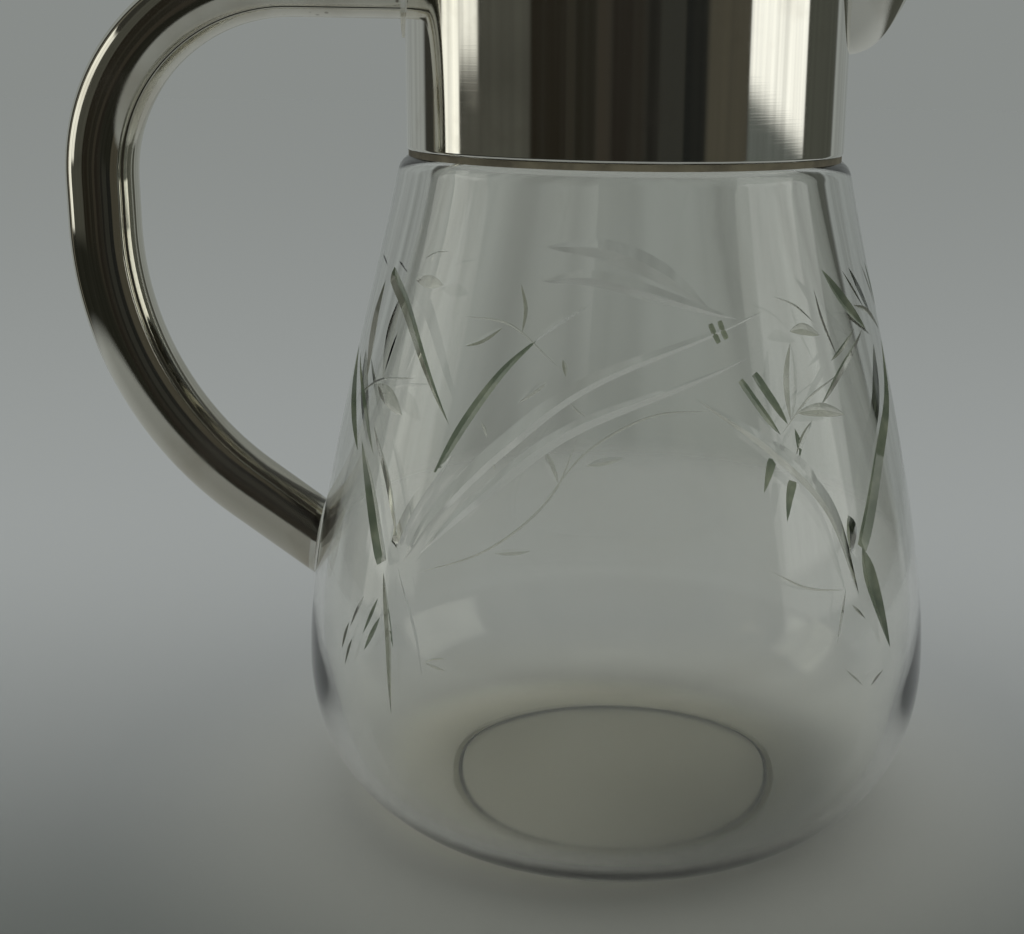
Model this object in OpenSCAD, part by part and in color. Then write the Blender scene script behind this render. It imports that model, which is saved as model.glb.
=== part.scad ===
// Cocktail pitcher: wheel-cut glass jug with a cemented plated collar, tube handle and hinged lid.
// Millimetres, +Z up, base on Z = 0, handle towards -X, spout towards +X.

/* [Glass] */
// Widest diameter of the glass body
belly_d = 146; // [140:1:152]
// Height of the widest point above the table
belly_z = 39.1; // [37:0.1:41]
// Outer diameter of the ring that the jug stands on
foot_d = 82; // [78:1:86]
// Height of the ledge where the shoulder meets the collar
ledge_z = 155; // [151:0.5:159]
// Flat part of the ledge between the neck and the shoulder's round
ledge_flat = 0.3; // [0.2:0.05:0.5]
// Overhang of the shoulder beyond the collar
shoulder_over = 1.9; // [1.6:0.1:2.2]
// Level run of the curve at the edge of the foot
foot_run = 8; // [7:0.2:9]
// Upright run of the foot curve below the widest point
foot_pull = 30; // [28:0.2:32]
// Upright run of the side curve above the widest point
belly_pull = 30; // [26:0.5:34]
// Sloping run of the side curve below the shoulder
shoulder_pull = 28; // [24:0.5:32]
// Slope of the shoulder below the collar, in degrees from level
shoulder_slope = 78; // [75:1:82]
// Wall thickness of the glass
wall_t = 3.2; // [2.8:0.1:3.6]
// Thickness of the glass floor
floor_t = 4.2; // [3.8:0.1:5]
// Diameter of the flat part of the floor inside
floor_d = 72; // [68:1:76]
// Level run of the curve at the edge of the floor
floor_run = 21; // [19:0.5:22]
// Upright run of the inside curve above the floor
floor_pull = 26.4; // [25:0.2:28]
// Height of the widest point inside above the one outside
inner_rise = 4; // [2:0.2:6]
// Diameter of the hollow ground into the underside
punt_d = 79; // [74:1:80]
// Depth of the hollow ground into the underside
punt_h = 1.8; // [1.4:0.1:2.2]
// Width of the sloping edge of the hollow
punt_edge = 2.4; // [1.6:0.1:3]
// Height of the glass neck inside the collar
neck_h = 19; // [16:0.5:20]
// Depth below the ledge where the neck's bore opens into the body
neck_drop = 3; // [2:0.2:5]

/* [Collar] */
// Outside diameter of the collar
collar_d = 97.4; // [94:0.2:100]
// Height of the collar
collar_h = 56.1; // [54.7:0.1:58.7]
// Sheet thickness of the collar
collar_t = 1.2; // [1:0.1:1.4]
// Radius of the turned lower edge of the collar
edge_round = 1; // [0.7:0.1:1]
// Thickness of the cement bed between neck and collar
bed_t = 1.6; // [1.3:0.1:2]
// Height of cement that shows below the collar
bed_show = 0.6; // [0.4:0.1:1]
// Depth of the cement's top below the top of the neck
bed_drop = 2.8; // [2:0.2:4]
// Set-back of the bedding from the collar's outside
bed_in = 0.4; // [0.3:0.1:0.5]
// Radius of the half-round wire along the rim
wire_r = 1.2; // [1:0.1:1.3]

/* [Spout] */
// Height of the lower tip of the spout above the collar's lower edge
spout_root = 21.7; // [21.2:0.1:22.7]
// Distance that the lip stands out from the collar
spout_reach = 29; // [27:0.5:31]
// Sideways offset of each half's turning axis, which gives the keel
spout_keel = 8; // [7.6:0.1:8.4]
// Depth of the turning axes behind the collar's face
spout_inset = 2.7; // [2.4:0.1:3]
// Start of the outline beyond the keel offset
spout_start = 0.5; // [0.4:0.1:0.8]
// Outward run of the outline at the root
spout_bulge = 9; // [8:0.2:10]
// Rise of the outline at the root
spout_lift = 2.6; // [2:0.1:3.2]
// Outward place of the waist below the lip
spout_waist = 9.5; // [8.5:0.1:10.5]
// Depth of the waist below the lip
spout_waist_h = 12; // [11:0.2:13]
// Sheet thickness of the spout
spout_t = 1.1; // [0.9:0.1:1.2]
// Diameter of the strainer holes behind the spout
hole_d = 4; // [3:0.1:4.2]
// Spacing of the strainer holes
hole_pitch = 6; // [5.6:0.1:6.2]
// Spacing of the rows of holes
hole_rise = 5.6; // [5.2:0.1:5.8]
// Height of the lowest row above the tip of the spout
hole_z = 8.2; // [7.6:0.1:8.8]

/* [Handle] */
// Outside diameter of the handle tube
handle_d = 16; // [15:0.2:17]
// Sheet thickness of the handle tube
handle_t = 0.9; // [0.8:0.1:1.1]
// Height of the arm's centre above the collar's lower edge
arm_z = 35.9; // [35.3:0.1:36.5]
// Distance from the jug's axis to the start of the bend
arm_x = 73.5; // [71:0.5:76]
// Centreline radius of the upper bend
bend_r = 44; // [42:0.5:46]
// Straight length of the grip
grip_l = 10; // [6:0.5:14]
// Centreline radius of the lower curve
back_r = 77; // [74:0.5:80]
// Half width of the inner strip in degrees of the tube
strip_half = 43; // [38:1:48]
// Thickness of the plate that closes the lower end
end_t = 1.3; // [1:0.1:1.6]
// Gap between the end plate and the glass
end_gap = 0.3; // [0.2:0.05:0.4]
// Thickness of the joint plate between arm and collar
joint_t = 0.9; // [0.7:0.1:1.1]
// Border of the joint plate round the arm
joint_edge = 1.6; // [1.2:0.1:1.8]
// Length of the joint plate's point below the arm
joint_point = 4; // [3:0.2:5]

/* [Hinge] */
// Diameter of the hinge pin
pin_d = 2.4; // [2.2:0.1:2.6]
// Running clearance of the pin, measured on the radius
pin_gap = 0.05; // [0.03:0.01:0.08]
// Outside diameter of the knuckles
knuckle_d = 5.6; // [5.2:0.1:6]
// Width of the lid's knuckle
knuckle_w = 8; // [7:0.2:9]
// Width of each fixed knuckle
side_w = 6.6; // [6:0.2:7.4]
// Gap between neighbouring moving surfaces
move_gap = 0.35; // [0.3:0.05:0.45]
// Gap between the hinge bracket and the wire along the rim
wire_gap = 0.2; // [0.1:0.1:0.3]
// Height of the foot of the hinge bracket
bracket_h = 6; // [5:0.2:6.6]
// Thickness of the web at the bottom of the bracket
web_t = 0.6; // [0.5:0.1:1]
// Drop of the web's outer corner below the top of the foot
web_drop = 1; // [0.6:0.1:1.6]
// Diameter of the heads on the pin
head_d = 3.8; // [3.4:0.1:4.4]
// Thickness of the heads on the pin
head_t = 0.9; // [0.6:0.1:1.2]

/* [Lid] */
// Sheet thickness of the lid
lid_t = 1; // [0.8:0.1:1.2]
// Width of the flat brim of the lid
brim_w = 5; // [4:0.2:6]
// Rise of the dome above the brim
dome_h = 14; // [11:0.5:17]
// Depth of the flange inside the collar
flange_h = 5; // [4:0.2:6]
// Gap between the flange and the collar
flange_gap = 0.8; // [0.6:0.1:1]
// Thickness of the flange
flange_t = 1; // [0.8:0.1:1.2]
// Thickness of the strap on the lid
strap_t = 1.6; // [1.4:0.1:1.8]
// Distance from the strap's end to the foot of the dome
strap_end = 0.6; // [0.4:0.1:1]
// Radius of the thumb lift's curve
thumb_r = 15; // [14:0.5:16]
// Thickness of the thumb lift
thumb_t = 1.8; // [1.5:0.1:2]
// Width of the thumb lift's pad
thumb_w = 15; // [13:0.5:17]
// Width of the thumb lift's stem
stem_w = 6; // [5:0.2:6.8]
// Sweep of the thumb lift's curve in degrees
thumb_sweep = 64; // [58:1:68]
// Offset of the stem from the hinge axis towards the lid
stem_x = 0.6; // [0.3:0.1:0.9]

/* [Hidden] */
$fn = 96;
big = 400;
over = 1;
wire_n = 24;
belly_r = belly_d / 2;
foot_r = foot_d / 2;
punt_r = punt_d / 2;
collar_r = collar_d / 2;
collar_in = collar_r - collar_t;
collar_z = ledge_z + bed_show;
rim_z = collar_z + collar_h;
neck_r = collar_in - bed_t;
neck_in = neck_r - wall_t;
neck_top = ledge_z + neck_h;
handle_r = handle_d / 2;
joint_r = collar_r + joint_t;

// Glass outline: a foot curve and a side curve that meet at the widest point
shoulder_r = collar_r + shoulder_over;
turn_a = 90 - shoulder_slope;
ledge_round = (shoulder_r - neck_r - ledge_flat) / cos(turn_a);
turn_c = [shoulder_r - ledge_round * cos(turn_a), ledge_z - ledge_round];
turn_0 = turn_c + ledge_round * [cos(turn_a), sin(turn_a)];
bed_r = collar_r - bed_in;
bed_a = acos((bed_r - turn_c[0]) / ledge_round);
edge_c = [collar_r - edge_round, collar_z + edge_round];
edge_a = asin((bed_r - edge_c[0]) / edge_round) - 90;
slope_v = shoulder_pull * [cos(shoulder_slope), -sin(shoulder_slope)];
foot_pts = [[foot_r, 0], [foot_r + foot_run, 0], [belly_r, belly_z - foot_pull], [belly_r, belly_z]];
side_pts = [[belly_r, belly_z], [belly_r, belly_z + belly_pull], turn_0 + slope_v, turn_0];
in_r = belly_r - wall_t;
in_z = belly_z + inner_rise;
in_top = [neck_in, ledge_z - neck_drop];
floor_r = floor_d / 2;
in_foot = [[floor_r, floor_t], [floor_r + floor_run, floor_t], [in_r, in_z - floor_pull], [in_r, in_z]];
in_side = [[in_r, in_z], [in_r, in_z + belly_pull], in_top + slope_v, in_top];

function bez(p, t) = pow(1 - t, 3) * p[0] + 3 * t * pow(1 - t, 2) * p[1]
    + 3 * t * t * (1 - t) * p[2] + pow(t, 3) * p[3];
function curve(p, n, first = 0) = [for (i = [first:n]) bez(p, i / n)];
function back(p) = [for (i = [len(p) - 1:-1:0]) p[i]];
function polar(a) = [cos(a), sin(a)];
function arc(c, r, a0, a1, n, first = 0) = [for (i = [first:n]) c + r * polar(a0 + (a1 - a0) * i / n)];

// Position along the shoulder curve at a given height, found by halving the interval
function side_t(z, lo = 0, hi = 1, k = 30) = k == 0 ? (lo + hi) / 2
    : bez(side_pts, (lo + hi) / 2)[1] < z ? side_t(z, (lo + hi) / 2, hi, k - 1)
    : side_t(z, lo, (lo + hi) / 2, k - 1);
function glass_r(z) = bez(side_pts, side_t(z))[0];
function glass_lean(z) = atan((glass_r(z - 1) - glass_r(z + 1)) / 2);

// Handle centreline in the X-Z plane: arm, quarter bend, grip, lower curve and a straight end at 3 in 4
arm_h = collar_z + arm_z;
bend_c = [-arm_x, arm_h - bend_r];
back_c = [back_r - arm_x - bend_r, arm_h - bend_r - grip_l];
end_v = [0.8, -0.6];
end_turn = acos(-end_v[1]);
end_0 = back_c + back_r * [end_v[1], -end_v[0]];
end_l = back_r;
end_over = 70;
function end_p(t) = end_0 + t * end_v;
function end_hit(lo = 0, hi = end_l, k = 30) = k == 0 ? (lo + hi) / 2
    : -end_p((lo + hi) / 2)[0] > glass_r(end_p((lo + hi) / 2)[1]) ? end_hit((lo + hi) / 2, hi, k - 1)
    : end_hit(lo, (lo + hi) / 2, k - 1);
touch = end_p(end_hit());
touch_a = glass_lean(touch[1]);

// Spout outline, as radius about the turning axis against height
spout_turn = 150;
spout_x = collar_r - spout_inset;
lip_r = norm([spout_reach + collar_r - spout_x, spout_keel]);
root_z = collar_z + spout_root;
spout_pts = [[spout_keel + spout_start, root_z], [spout_keel + spout_bulge, root_z + spout_lift],
             [spout_keel + spout_waist, rim_z - spout_waist_h], [lip_r, rim_z]];

// Hinge axis and lid heights
lid_z = rim_z + move_gap;
hinge_x = -(collar_r + wire_r + move_gap + knuckle_d / 2);
hinge_z = lid_z + lid_t;
bore_d = pin_d + 2 * pin_gap;
lid_r = collar_r + wire_r;
dome_r = lid_r - brim_w;
dome_R = (dome_r * dome_r + dome_h * dome_h) / (2 * dome_h);
dome_a = asin(dome_r / dome_R);
side_y = knuckle_w / 2 + move_gap;
pin_l = 2 * (side_y + side_w);
strap_top = lid_z + lid_t + strap_t;
thumb_start = 3;
foot_top = rim_z - 2 * wire_r - wire_gap;

module pair() {
    children();
    mirror([0, 1, 0]) children();
}

module glass_body() {
    color([0.86, 0.9, 0.9, 0.5])
    rotate_extrude()
    polygon(concat(
        [[0, punt_h], [punt_r - punt_edge, punt_h], [punt_r, 0]],
        curve(foot_pts, 10),
        curve(side_pts, 14, 1),
        arc(turn_c, ledge_round, turn_a, bed_a, 4),
        arc(turn_c, ledge_round, bed_a, 90, 3, 1),
        [[neck_r, ledge_z]],
        arc([neck_r - wall_t / 2, neck_top - wall_t / 2], wall_t / 2, 0, 180, 6),
        back(curve(in_side, 12)),
        back(curve(in_foot, 8)),
        [[0, floor_t]]));
}

module neck_cement() {
    color([0.62, 0.53, 0.42])
    rotate_extrude()
    polygon(concat(
        [[neck_r, neck_top - bed_drop], [neck_r, ledge_z]],
        arc(turn_c, ledge_round, 90, bed_a, 3),
        arc(edge_c, edge_round, edge_a, -90, 2),
        [[collar_in, collar_z], [collar_in, neck_top - bed_drop]]));
}

module collar_band() {
    color([0.78, 0.78, 0.76])
    difference() {
        rotate_extrude()
        polygon(concat(
            [[collar_in, rim_z], [collar_in, collar_z]],
            arc(edge_c, edge_round, -90, edge_a, 2),
            arc(edge_c, edge_round, edge_a, 0, 4, 1),
            [[collar_r, rim_z]]));
        strainer_holes();
    }
}

// Rows of holes in the collar wall behind the spout, one more in each higher row
module strainer_holes() {
    for (row = [0:3])
        for (i = [0:row + 1])
            rotate([0, 0, (i - (row + 1) / 2) * hole_pitch / collar_r * 180 / PI])
            translate([collar_in - over, 0, root_z + hole_z + row * hole_rise])
            rotate([0, 90, 0])
            cylinder(d = hole_d, h = collar_t + 2 * over, $fn = 24);
}

// One half of a spout form, turned about an axis on the far side of the mid-plane
module spout_half(outline) {
    difference() {
        translate([spout_x, -spout_keel, 0])
        rotate_extrude(angle = spout_turn)
        polygon(outline);
        translate([-big / 2, -big, 0]) cube([big, big, big]);
        translate([0, 0, collar_z]) cylinder(r = collar_r, h = big);
    }
}

module spout_beak() {
    outer = curve(spout_pts, 14);
    inner = [for (p = back(outer)) p - [spout_t, 0]];
    color([0.78, 0.78, 0.76])
    pair() spout_half(concat(outer, inner));
}

module spout_solid() {
    pair() spout_half(concat([[0, root_z]], curve(spout_pts, 14), [[0, rim_z]]));
}

// Half-round wire that follows the collar and then runs out round the spout
module rim_wire() {
    color([0.8, 0.8, 0.78])
    difference() {
        union() {
            translate([0, 0, rim_z - wire_r])
            rotate_extrude()
            intersection() {
                translate([collar_r, 0]) circle(r = wire_r, $fn = wire_n);
                translate([collar_r, -wire_r]) square([2 * wire_r, 2 * wire_r]);
            }
            pair() spout_half(arc([lip_r, rim_z - wire_r], wire_r, 0, 360 - 360 / wire_n, wire_n - 1));
        }
        spout_solid();
    }
}

module tube_section(a0, a1) {
    intersection() {
        difference() {
            circle(r = handle_r);
            circle(r = handle_r - handle_t);
        }
        polygon(concat([[0, 0]], arc([0, 0], 2 * handle_r, a0, a1, 8)));
    }
}

// The tube's run from the collar to the glass, for one sector of its section
module handle_run(a0, a1) {
    difference() {
        rotate([90, 0, 0])
        union() {
            translate([bend_c[0], bend_c[1], 0]) rotate([0, 0, 90])
            union() {
                straight(bend_r, 90, arm_x - collar_in) tube_section(a0, a1);
                rotate_extrude(angle = 90) translate([bend_r, 0]) tube_section(a0, a1);
                rotate([0, 0, 90]) straight(bend_r, -90, grip_l) tube_section(a0, a1);
            }
            translate([back_c[0], back_c[1], 0]) rotate([0, 0, 180])
            union() {
                difference() {
                    rotate_extrude(angle = end_over) translate([back_r, 0]) tube_section(a0, a1);
                    rotate([0, 0, end_turn]) translate([0, 0, -big / 2]) cube([big, big, big]);
                }
                rotate([0, 0, end_turn]) straight(back_r, -90, end_l) tube_section(a0, a1);
            }
        }
        translate([0, 0, collar_z]) cylinder(r = joint_r, h = big);
        end_frame() translate([-end_gap - end_t, -end_l / 2, -end_l])
        cube([2 * end_l, end_l, end_l + 2 * handle_d]);
    }
}

// A straight run beside a bend, square to the bend's start or end
module straight(r, tilt, length) {
    translate([r, 0, 0]) rotate([tilt, 0, 0]) linear_extrude(length) children();
}

// Frame on the glass where the handle ends, with local -X as the outward normal
module end_frame() {
    translate([touch[0], 0, touch[1]]) rotate([0, touch_a, 0]) children();
}

module handle_shell() {
    color([0.76, 0.76, 0.74])
    handle_run(-180 + strip_half, 180 - strip_half);
}

module handle_strip() {
    color([0.72, 0.72, 0.7])
    handle_run(180 - strip_half, 180 + strip_half);
}

module handle_end_plate() {
    color([0.7, 0.7, 0.68])
    intersection() {
        rotate([90, 0, 0]) translate([back_c[0], back_c[1], 0]) rotate([0, 0, 180 + end_turn])
        straight(back_r, -90, end_l) circle(r = handle_r);
        end_frame() translate([-end_gap - end_t, -end_l / 2, -end_l]) cube([end_t, end_l, 2 * end_l]);
    }
}

// Plate between arm and collar, round behind the arm with a point below it
module handle_joint_plate() {
    plate_r = handle_r + joint_edge;
    tip = handle_r + joint_point;
    side_a = acos(plate_r / tip);
    color([0.76, 0.76, 0.74])
    difference() {
        intersection() {
            translate([0, 0, collar_z]) cylinder(r = joint_r, h = collar_h);
            translate([-joint_r - over, 0, arm_h]) rotate([90, 0, 90])
            linear_extrude(joint_r)
            polygon(concat([[0, -tip]], arc([0, 0], plate_r, side_a - 90, 270 - side_a, 36)));
        }
        translate([0, 0, collar_z - over]) cylinder(r = collar_r, h = collar_h + 2 * over);
    }
}

// Curved foot on the collar with a web and a knuckle at each side
module hinge_bracket() {
    color([0.74, 0.74, 0.72])
    difference() {
        union() {
            intersection() {
                translate([0, 0, foot_top - bracket_h]) cylinder(r = joint_r, h = bracket_h);
                translate([-joint_r - over, -side_y - side_w, 0]) cube([joint_r, 2 * (side_y + side_w), big]);
            }
            pair()
            translate([0, side_y + side_w, 0]) rotate([90, 0, 0])
            linear_extrude(side_w)
            union() {
                translate([hinge_x, hinge_z]) circle(d = knuckle_d, $fn = 48);
                polygon([[-collar_in + side_w, foot_top - bracket_h],
                         [-joint_r - web_t, foot_top - bracket_h],
                         [hinge_x - knuckle_d / 2, foot_top - web_drop],
                         [hinge_x - knuckle_d / 2, hinge_z],
                         [hinge_x, hinge_z], [-collar_in + side_w, foot_top]]);
            }
        }
        cylinder(r = collar_r, h = big);
        translate([0, 0, foot_top]) cylinder(r = lid_r + wire_gap / 2, h = big);
        translate([hinge_x, 0, hinge_z]) rotate([90, 0, 0])
        cylinder(d = bore_d, h = 3 * pin_l, center = true, $fn = 48);
    }
}

module hinge_pin() {
    color([0.66, 0.66, 0.64])
    translate([hinge_x, 0, hinge_z])
    rotate([90, 0, 0])
    union() {
        cylinder(d = pin_d, h = pin_l, center = true, $fn = 48);
        for (s = [0, 180])
            rotate([s, 0, 0]) translate([0, 0, pin_l / 2]) cylinder(d = head_d, h = head_t, $fn = 48);
    }
}

module lid_cover() {
    dome_c = [0, lid_z + dome_h - dome_R];
    color([0.8, 0.8, 0.78])
    rotate_extrude()
    polygon(concat(
        [[lid_r - lid_t / 2, lid_z], [lid_r, lid_z + lid_t / 2], [lid_r - lid_t / 2, lid_z + lid_t]],
        arc(dome_c + [0, lid_t], dome_R, 90 - dome_a, 90, 16),
        back(arc(dome_c, dome_R, 90 - dome_a, 90, 16))));
}

module lid_flange() {
    flange_r = collar_in - flange_gap;
    color([0.76, 0.76, 0.74])
    translate([0, 0, lid_z - flange_h])
    difference() {
        cylinder(r = flange_r, h = flange_h);
        translate([0, 0, -over]) cylinder(r = flange_r - flange_t, h = flange_h + 2 * over);
    }
}

// Strap on the brim that carries the lid's knuckle
module lid_strap() {
    color([0.74, 0.74, 0.72])
    difference() {
        union() {
            translate([hinge_x, 0, hinge_z]) rotate([90, 0, 0])
            cylinder(d = knuckle_d, h = knuckle_w, center = true, $fn = 48);
            translate([hinge_x, -knuckle_w / 2, lid_z + lid_t])
            cube([-hinge_x - dome_r - strap_end, knuckle_w, strap_t]);
        }
        lid_shadow();
        translate([hinge_x, 0, hinge_z]) rotate([90, 0, 0])
        cylinder(d = bore_d, h = 2 * knuckle_w, center = true, $fn = 48);
    }
}

// Space taken by the lid's brim, kept free of the knuckle
module lid_shadow() {
    translate([0, 0, lid_z - knuckle_d]) cylinder(r = lid_r, h = knuckle_d + lid_t);
}

// Curved lever behind the lid, narrow at the knuckle and round at the pad
module thumb_lift() {
    root = [hinge_x + stem_x, hinge_z + knuckle_d / 2];
    color([0.78, 0.78, 0.76])
    difference() {
        intersection() {
            translate([0, thumb_w, 0]) rotate([90, 0, 0])
            linear_extrude(2 * thumb_w)
            polygon(concat(
                [[root[0] + thumb_t / 2, root[1] - knuckle_d / 2], [root[0] + thumb_t / 2, root[1]]],
                arc(root - [thumb_r, 0], thumb_r + thumb_t / 2, thumb_start, thumb_sweep, 12),
                back(arc(root - [thumb_r, 0], thumb_r - thumb_t / 2, thumb_start, thumb_sweep, 12)),
                [[root[0] - thumb_t / 2, root[1]], [root[0] - thumb_t / 2, root[1] - knuckle_d / 2]]));
            translate([root[0] - 2 * thumb_r, 0, root[1]]) rotate([90, 0, 90])
            linear_extrude(3 * thumb_r)
            union() {
                translate([0, thumb_r * sin(thumb_sweep) - thumb_w / 2]) circle(d = thumb_w);
                translate([-stem_w / 2, -knuckle_d]) square([stem_w, knuckle_d + stem_w]);
            }
        }
        translate([hinge_x, 0, hinge_z]) rotate([90, 0, 0])
        cylinder(d = knuckle_d, h = 3 * thumb_w, center = true, $fn = 48);
        translate([hinge_x, -big / 2, 0]) cube([big, big, strap_top]);
    }
}

glass_body();
neck_cement();
collar_band();
rim_wire();
spout_beak();
handle_shell();
handle_strip();
handle_end_plate();
handle_joint_plate();
hinge_bracket();
hinge_pin();
lid_cover();
lid_flange();
lid_strap();
thumb_lift();
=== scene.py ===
"""Cocktail pitcher: a wheel-cut glass jug in a plated mount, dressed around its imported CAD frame."""
import logging
import math
from dataclasses import dataclass, field
from enum import Enum
from typing import Any, Sequence

import bpy
import numpy as np
from mathutils import Matrix, Vector
from mathutils.geometry import delaunay_2d_cdt


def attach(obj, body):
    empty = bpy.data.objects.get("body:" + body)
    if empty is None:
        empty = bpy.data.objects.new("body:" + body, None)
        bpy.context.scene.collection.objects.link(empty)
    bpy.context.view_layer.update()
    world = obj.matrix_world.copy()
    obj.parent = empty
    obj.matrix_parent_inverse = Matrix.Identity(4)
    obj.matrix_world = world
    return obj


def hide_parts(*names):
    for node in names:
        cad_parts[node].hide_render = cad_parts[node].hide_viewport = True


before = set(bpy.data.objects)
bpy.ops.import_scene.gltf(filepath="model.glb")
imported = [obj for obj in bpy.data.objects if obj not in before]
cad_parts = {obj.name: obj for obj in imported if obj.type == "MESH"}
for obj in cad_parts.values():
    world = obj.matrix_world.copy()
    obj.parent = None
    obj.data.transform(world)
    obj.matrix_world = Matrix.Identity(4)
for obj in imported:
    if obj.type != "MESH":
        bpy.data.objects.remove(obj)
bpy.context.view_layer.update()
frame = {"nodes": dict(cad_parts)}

MM = 0.001
LOG = logging.getLogger("pitcher")

TINY = 1e-12

Point = tuple[float, float]
Colour = tuple[float, float, float]
Outline = tuple[np.ndarray, np.ndarray]


class CutKind(Enum):
    """How the wheel leaves the glass: a V groove, a fine line or a shallow oval."""

    BLADE = "blade"
    LINE = "line"
    OLIVE = "olive"


class Blunt(Enum):
    """Which end of a cut stops square instead of running out to a point."""

    NONE = "none"
    START = "start"
    END = "end"
    BOTH = "both"


class Grain(Enum):
    """The way the hairline scratches of a polished metal run."""

    AROUND = "around"
    CROSSED = "crossed"


class Socket:
    """A node socket that stands in Python expressions, each of which adds Math nodes."""

    def __init__(self, nodes: "Nodes", raw: bpy.types.NodeSocket) -> None:
        """Wrap a raw socket of a tree."""
        self.nodes = nodes
        self.raw = raw

    def _math(self, operation: str, *values: Any) -> "Socket":
        """Add one Math node and give its result."""
        return self.nodes.add("ShaderNodeMath", {"operation": operation}, dict(enumerate(values)))

    def __add__(self, other: Any) -> "Socket":
        """Sum."""
        return self._math("ADD", self, other)

    def __radd__(self, other: Any) -> "Socket":
        """Sum with the socket on the right."""
        return self._math("ADD", other, self)

    def __sub__(self, other: Any) -> "Socket":
        """Difference."""
        return self._math("SUBTRACT", self, other)

    def __rsub__(self, other: Any) -> "Socket":
        """Difference with the socket on the right."""
        return self._math("SUBTRACT", other, self)

    def __mul__(self, other: Any) -> "Socket":
        """Product."""
        return self._math("MULTIPLY", self, other)

    def __rmul__(self, other: Any) -> "Socket":
        """Product with the socket on the right."""
        return self._math("MULTIPLY", other, self)

    def __rtruediv__(self, other: Any) -> "Socket":
        """Quotient with the socket below the line."""
        return self._math("DIVIDE", other, self)

    def step(self, low: float, high: float) -> "Socket":
        """Smooth step from 0 at low to 1 at high."""
        sockets = {"Value": self, "From Min": low, "From Max": high}
        return self.nodes.add("ShaderNodeMapRange", {"interpolation_type": "SMOOTHSTEP"}, sockets)

    def flag(self) -> "Socket":
        """A count or a ray flag as 0 for none and 1 for any."""
        return self.step(0.2, 0.8)

    def between(self, low: float, high: float, soft: float) -> "Socket":
        """Smooth window that is 1 from low to high and fades over soft on each side."""
        return self.step(low - soft, low + soft) * (1 - self.step(high - soft, high + soft))

    def root(self) -> "Socket":
        """Square root."""
        return self._math("SQRT", self)

    def at_least(self, least: float) -> "Socket":
        """The larger of this and a number."""
        return self._math("MAXIMUM", self, least)

    def sine(self) -> "Socket":
        """Sine of an angle in radians."""
        return self._math("SINE", self)

    def cosine(self) -> "Socket":
        """Cosine of an angle in radians."""
        return self._math("COSINE", self)

    def angle_to(self, other: "Socket") -> "Socket":
        """Angle in degrees of the vector with this socket as its sine side and other as its cosine side."""
        return self._math("ARCTAN2", self, other) * math.degrees(1)


class Nodes:
    """A node tree with one method that adds any node."""

    MIX_FIRST = 6
    MIX_SECOND = 7
    MIX_RESULT = 2

    def __init__(self, tree: bpy.types.NodeTree) -> None:
        """Take over a tree and clear it."""
        self.tree = tree
        tree.nodes.clear()

    def add(
            self, kind: str, settings: dict | None = None, sockets: dict | None = None,
            output: Any = 0) -> Any:
        """Add a node.

        Args:
            kind: the node's type name.
            settings: properties set first.
            sockets: values or Sockets by input name or index.
            output: name or index of the output to give back.

        Returns:
            The output as a Socket, or None for a node without outputs.
        """
        node = self.tree.nodes.new(kind)
        for name, value in (settings or {}).items():
            setattr(node, name, value)
        for key, value in (sockets or {}).items():
            if isinstance(value, Socket):
                self.tree.links.new(value.raw, node.inputs[key])
            else:
                node.inputs[key].default_value = value
        return Socket(self, node.outputs[output]) if node.outputs else None

    def place(self) -> Socket:
        """Object coordinates."""
        return self.add("ShaderNodeTexCoord", None, None, "Object")

    def mix(self, share: Any, first: Any, second: Any) -> Socket:
        """Mix two colours, given as triples or Sockets."""
        def ready(colour: Any) -> Any:
            """Give a plain colour its alpha."""
            return colour if isinstance(colour, Socket) else (*colour, 1.0)
        sockets = {0: share, self.MIX_FIRST: ready(first), self.MIX_SECOND: ready(second)}
        return self.add("ShaderNodeMix", {"data_type": "RGBA"}, sockets, self.MIX_RESULT)

    def vector(self, x: Any, y: Any, z: Any) -> Socket:
        """Join three values to a vector."""
        return self.add("ShaderNodeCombineXYZ", None, {0: x, 1: y, 2: z})

    def split(self, vector: Socket) -> tuple[Socket, Socket, Socket]:
        """Take a vector apart."""
        first = self.add("ShaderNodeSeparateXYZ", None, {0: vector})
        return tuple(Socket(self, raw) for raw in first.raw.node.outputs)

    def noise(self, vector: Socket, scale: float, detail: float = 3.0) -> Socket:
        """Fractal noise on a vector."""
        sockets = {"Vector": vector, "Scale": scale, "Detail": detail}
        return self.add("ShaderNodeTexNoise", None, sockets, "Fac")

    def paths(self, *names: str) -> list[Socket]:
        """Outputs of one Light Path node by name."""
        node = self.add("ShaderNodeLightPath").raw.node
        return [Socket(self, node.outputs[name]) for name in names]

    def bump(self, height: Socket, distance: float, strength: float = 1.0) -> Socket:
        """Normal from a height in metres."""
        sockets = {"Height": height, "Distance": distance, "Strength": strength}
        return self.add("ShaderNodeBump", None, sockets)


def new_material(name: str) -> tuple[bpy.types.Material, Nodes]:
    """Make an empty node material.

    Args:
        name: the finish's name.

    Returns:
        The material and its cleared tree.
    """
    material = bpy.data.materials.new(name)
    material.use_nodes = True
    return material, Nodes(material.node_tree)


def close_material(nodes: Nodes, **sockets: Any) -> None:
    """End a material in one Principled shader.

    Args:
        nodes: the material's tree.
        sockets: values of the shader's inputs, with _ for the blanks in their names.
    """
    named = {name.replace("_", " "): value for name, value in sockets.items()}
    shader = nodes.add("ShaderNodeBsdfPrincipled", None, named, "BSDF")
    nodes.add("ShaderNodeOutputMaterial", None, {"Surface": shader})


class Facet(Enum):
    """How a face of the glass looks: left clear, greyed by degrees as painted shade on the cut facets,
    ground, or worn rough and greyed as painted shade.
    """

    CLEAR = 0
    SHADED_GREY = 1
    DARK = 2
    GROUND = 3
    SHADED_PALE = 4
    WORN_AND_SHADED = 5


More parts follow.
